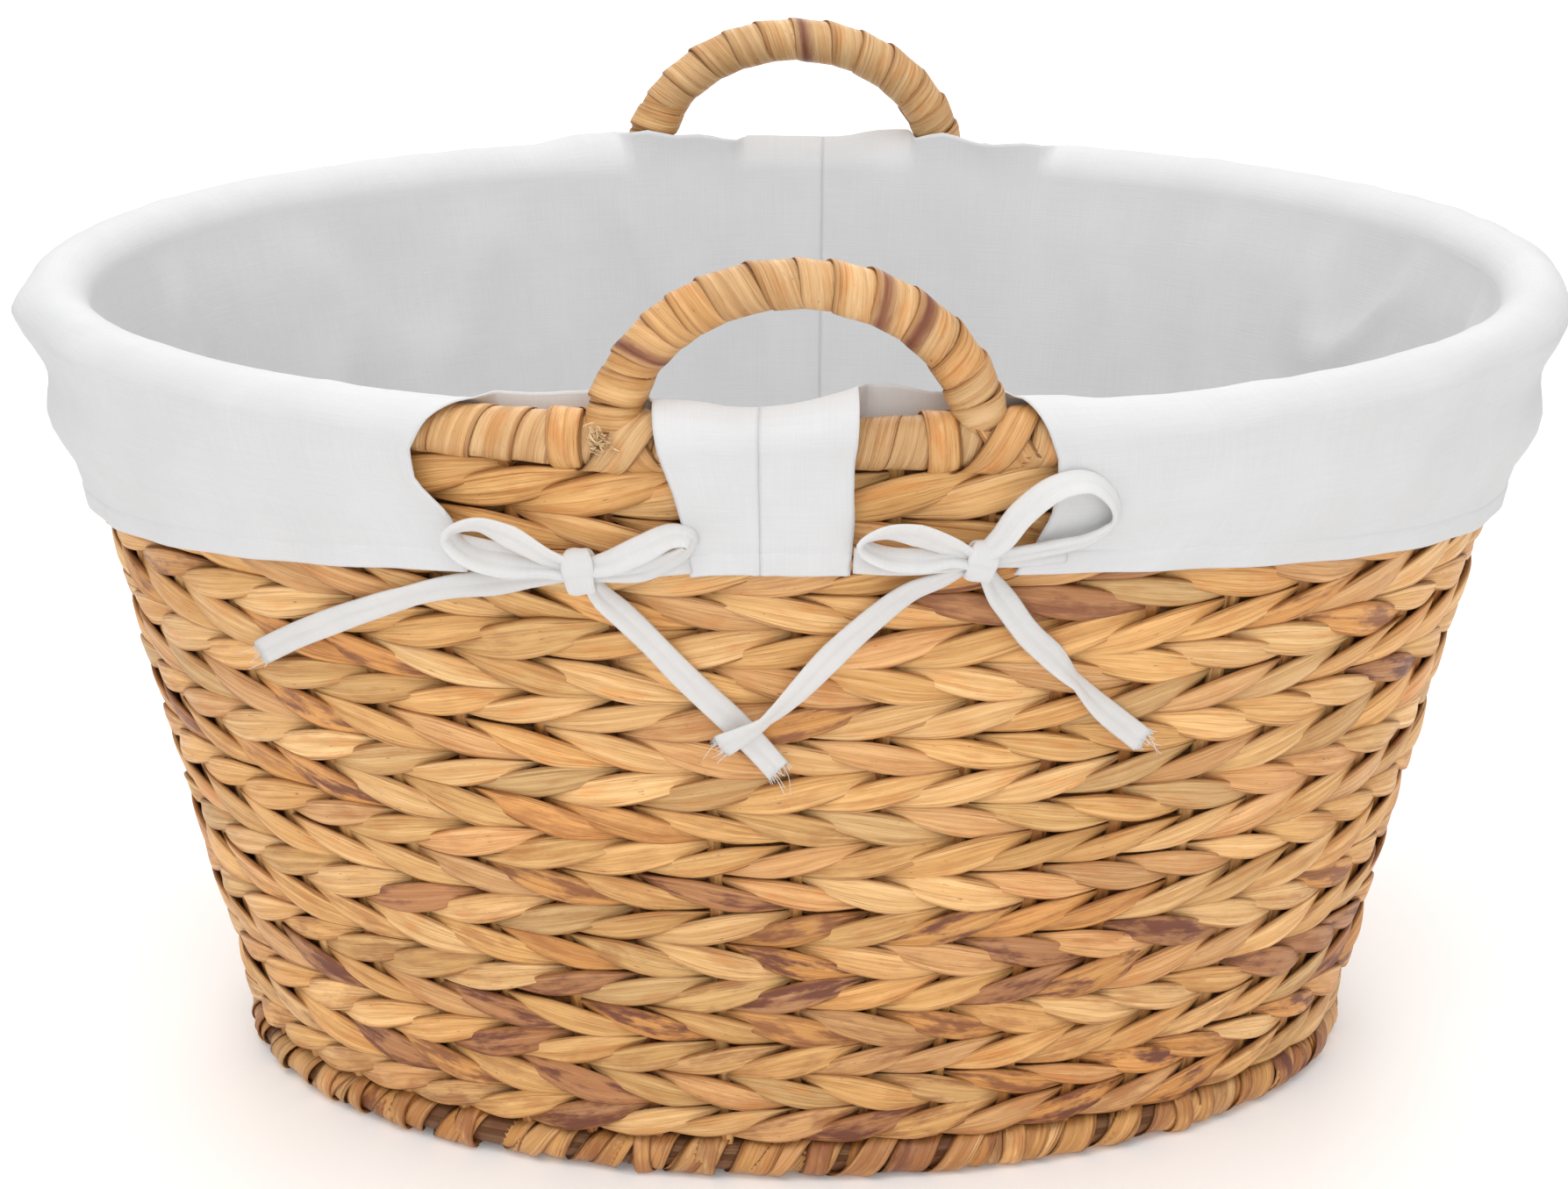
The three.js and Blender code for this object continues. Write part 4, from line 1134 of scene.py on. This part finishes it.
class LinerBlock:
    """The cloth between two cut edges. Each method gives points in rows, and how far down the cloth they are.

    calm is 0 on the seam between the panels, where both must meet, and 1 away from it. notch is the extra
    distance from the rim roll where the handles' lashings are. groove sinks the seam.
    """

    def __init__(self, name, start, end, seed):
        self.start = start
        self.end = end
        self.seed = seed
        self.span = abs(end(0) - start(0)) * STATION_LENGTH
        rolled = np.array([0, 1.5, 4.5]) * MM / self.span
        inner = np.linspace(0, 1, max(3, int(self.span / CELL)) + 1)[1:-1]
        inner = inner[(inner > rolled[-1]) & (inner < 1 - rolled[-1])]
        self.columns = np.concatenate([rolled, inner, 1 - rolled[::-1]])[None]
        self.from_edge = np.minimum(self.columns, 1 - self.columns) * self.span
        self.edge_roll = 0.8 * MM * bump(self.from_edge, 2 * MM, 2 * MM)

        self.inside = self.stations(0)
        crest = wall_point(self.inside, RIM_HEIGHT)
        self.x = crest[..., 0]
        front = bool(crest[0, 0, 1] < 0)
        from_seam = np.abs(self.x - (SEAM_X if front else -SEAM_X))
        self.calm = smooth_step(0, 10 * MM, from_seam)
        self.groove = 0.1 * MM * (1 - smooth_step(0, 5 * MM, from_seam))
        self.notch = 3.3 * MM * np.exp(-(((np.abs(self.x) - HANDLE_HALF_SPAN) / (33 * MM)) ** 6))
        wrinkles = 1.3 * MM * np.abs(soft_noise(crest, 16 * MM, seed))
        self.lift = tab_lift(name, self.x, front) + wrinkles * self.calm
        self.hem = HEM_HEIGHT - HEM_DROP * np.cos(angle_at(self.inside)) ** 2
        self.length = QUARTER_ROLL + RIM_HEIGHT - self.hem

    def stations(self, share):
        """The columns' stations at a share of the way from the rim's crest to the hem."""
        start = self.start(share)
        return start + (self.end(share) - start) * self.columns

    def wall(self):
        """Up the inside of the basket, with soft folds."""
        heights = np.linspace(LINER_FLOOR, RIM_HEIGHT - 1 * MM, 52)[:, None]
        share = (heights - LINER_FLOOR) / (RIM_HEIGHT - LINER_FLOOR)
        loosely = smooth_step(LINER_FLOOR, LINER_FLOOR + 30 * MM, heights)
        loosely = loosely * (1 - smooth_step(0.9, 1.0, share)) * self.calm
        swell = np.maximum(0, wall_swell(self.inside, heights, self.seed) + 0.8 * MM) * loosely
        out = -8.8 * MM - 1.4 * MM * share - self.notch * smooth_step(0.7, 1, share) - swell + self.groove
        return wall_point(self.inside, heights, out), heights - RIM_HEIGHT

    def inner_roll(self, hangs, loose):
        """Over the roll to its crest or, where nothing hangs, up to the loose cut edge with these heights."""
        arc = np.linspace(0, 1, 11)[:, None]
        radius = CLOTH_RADIUS + self.notch + self.lift * arc - self.groove
        out = -radius * np.cos(arc * math.pi / 2)
        up = radius * np.sin(arc * math.pi / 2)
        if not hangs:
            meet = bump(self.from_edge, 0, 3.5 * MM)
            stand = np.interp(np.abs(self.x), LOOSE_PLACES, loose) * MM
            ripple = 1 + 0.05 * np.sin(self.x / (5 * MM) + self.seed)
            out = out * meet - radius * (1 + 0.12 * arc**2) * (1 - meet)
            up = up * meet + arc * stand * ripple * (1 - meet)
        return wall_point(self.inside, RIM_HEIGHT + up, out), arc * QUARTER_ROLL

    def outer_roll(self):
        """From the roll's crest to its outer side."""
        arc = np.linspace(0, 1, 10)[1:, None]
        share = arc * QUARTER_ROLL / self.length
        column = self.stations(share)
        angle = math.pi / 2 * (1 - arc)
        swell = cuff_swell(share, column, self.seed) * self.calm * arc**2 + self.edge_roll * arc
        radius = CLOTH_RADIUS + self.notch * (1 - arc) + self.lift * np.sin(angle) + swell - self.groove
        points = wall_point(column, RIM_HEIGHT + radius * np.sin(angle), radius * np.cos(angle))
        return points, QUARTER_ROLL * (1 + arc)

    def cuff(self):
        """Down to the hem, with its line of stitches and its doubled edge."""
        to_hem = np.concatenate([CUFF_SHARES * (RIM_HEIGHT - HEM_HEIGHT), HEM_PLACES])[:, None]
        stretch = (RIM_HEIGHT - self.hem) / (RIM_HEIGHT - HEM_HEIGHT)
        from_hem = np.where(to_hem > STITCH * 1.2, to_hem * stretch, to_hem)
        share = (self.length - from_hem) / self.length
        column = self.stations(share)
        stitch = -0.3 * MM * bump(from_hem, STITCH, 0.6 * MM)
        doubled = 0.3 * MM * smooth_step(9 * MM, 7 * MM, from_hem)
        ripple = 0.6 * MM * np.sin(column * 5.1 + self.seed) * smooth_step(14 * MM, 0, from_hem) * self.calm
        swell = cuff_swell(share, column, self.seed) * self.calm * np.clip(from_hem / (20 * MM), 0.25, 1)
        out = CLOTH_RADIUS - 0.3 * MM + swell + stitch + doubled + ripple + self.edge_roll - self.groove
        points = wall_point(column, self.hem + from_hem, out)
        return points, 2 * QUARTER_ROLL + RIM_HEIGHT - self.hem - from_hem


def add_block(shape, block, hangs, loose, travel):
    """Adds a block's cloth, travel along the panel, and gives the travel at its far edge."""
    parts = [block.wall(), block.inner_roll(hangs, loose)]
    if hangs:
        parts += [block.outer_roll(), block.cuff()]
    grid = np.vstack([points for points, _ in parts])
    drops = np.vstack([np.broadcast_to(drop, points.shape[:2]) for points, drop in parts])
    shape.sheet(grid, vectors((travel + block.columns * block.span) / MM, drops / MM, block.seed))
    return travel + block.span


def thicken(panel, thickness, offset):
    """Joins a panel's blocks where they meet, and gives the sheet its thickness."""
    weld = panel.modifiers.new("weld", "WELD")
    weld.merge_threshold = 0.02 * MM
    cloth = panel.modifiers.new("cloth", "SOLIDIFY")
    cloth.thickness = thickness
    cloth.offset = offset


def make_liner_panel(name, turn, seed):
    """One side panel of the liner. The right panel is the left one's shape, turned half a turn."""
    front = [np.full(7, SEAM_X), FRONT_TAB_EDGE, FRONT_CUFF_EDGE]
    back = [BACK_CUFF_EDGE, BACK_TAB_EDGE, np.full(7, -SEAM_X)]
    edges = [edge_stations(edge, True) for edge in front] + [edge_stations(edge, False) for edge in back]
    shape = Shape()
    travel = 0.0
    for number, (start, end) in enumerate(zip(edges, edges[1:])):
        hangs = number % 2 == 0
        loose = LOOSE_HEIGHTS[name][0 if number < 2 else 1]
        travel = add_block(shape, LinerBlock(name, start, end, seed), hangs, loose, travel)
    if turn:
        shape.points = [points * np.array([-1, -1, 1]) for points in shape.points]
    panel = shape.piece(name, LINER, "liner_cotton", [f"liner_{name.split('_')[0]}_panel"])
    thicken(panel, 0.6 * MM, 0)
    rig.sheet(panel, flat=(0.36, 0.70), held="stretched", rests_on=["rim_wrap"])


def make_liner_base():
    """The floor cloth: an oval, in rings from its edge to its middle, with low puckers."""
    shape = Shape()
    rings = np.linspace(1, 0.02, 24)[:, None]
    stations = np.linspace(0, STAKES, 4 * STAKES + 1)
    grid = wall_point(stations, LINER_FLOOR, -9 * MM) * vectors(rings, rings, 1)
    grid[..., 2] += np.abs(soft_noise(grid * np.array([1, 1, 0]), 0.05)) * 1.2 * MM * (1 - rings**6)
    shape.sheet(grid, grid / MM)
    panel = shape.piece("liner_base_cloth", LINER, "liner_cotton", ["liner_base_panel"])
    thicken(panel, 0.5 * MM, -1)
    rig.sheet(panel, flat=(0.24, 0.38), held="laid", rests_on=["base_panel"], area=0.071)


# ---- stage

FLOOR_REACH = 6.0
FLOOR_WHITE = (0.93, 0.93, 0.93, 1)
FLOOR_GLOW = 0.12
WORLD_LIGHT = 0.635
# Each light's place, its size in metres and its power in watts.
LIGHTS = {
    "key": ((-0.5, -1.6, 1.9), 1.6, 12),
    "fill": ((0.6, -2.0, 0.9), 1.2, 4.5),
    "top": ((0.0, -0.3, 2.1), 2.0, 20),
    "back": ((0.0, 2.6, 2.2), 2.4, 34),
}
BASKET_MIDDLE = Vector((0, 0, 0.15))


def make_floor():
    corners = [(-1, -1), (1, -1), (1, 1), (-1, 1)]
    mesh = bpy.data.meshes.new("floor")
    mesh.from_pydata([(FLOOR_REACH * x, FLOOR_REACH * y, 0) for x, y in corners], [], [(0, 1, 2, 3)])
    material, tree, shader, _ = new_material("floor")
    set_inputs(tree, shader, {"Base Color": FLOOR_WHITE, "Roughness": 0.9})
    set_inputs(tree, shader, {"Emission Color": (1, 1, 1, 1), "Emission Strength": FLOOR_GLOW})
    mesh.materials.append(material)
    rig.stage(new_object("floor", mesh))


def make_lights():
    world = bpy.data.worlds.new("studio")
    world.use_nodes = True
    tree = world.node_tree
    set_inputs(tree, tree.nodes["Background"], {"Color": (1, 1, 1, 1), "Strength": WORLD_LIGHT})
    bpy.context.scene.world = world
    bpy.context.scene.view_settings.view_transform = "Standard"
    for name, (place, size, power) in LIGHTS.items():
        data = bpy.data.lights.new(name, "AREA")
        data.size = size
        data.energy = power
        light = new_object(name, data)
        light.location = place
        light.rotation_euler = (BASKET_MIDDLE - Vector(place)).to_track_quat("-Z", "Y").to_euler()


make_camera()
make_ties()
make_weave()
make_stakes()
make_rim()
make_handle("front", (2, 9, 10))
make_handle("back", (7,))
for binding_side in ("front", "back"):
    for binding_hand in ("left", "right"):
        make_binding(binding_side, binding_hand)
make_foot()
make_mat()
make_liner_panel("left_side_cloth", False, 3.0)
make_liner_panel("right_side_cloth", True, 8.0)
make_liner_base()
for node_name in ("base_hoop", "handle_core_front", "handle_core_back"):
    node = frame["nodes"][node_name]
    node.data.materials.clear()
    node.data.materials.append(CANE)
make_floor()
make_lights()

size = {"cad": [list(corner) for corner in CAD_BOX], "visual": [list(corner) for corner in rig.bounds()]}
with open("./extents.json", "w") as file:
    json.dump(size, file)
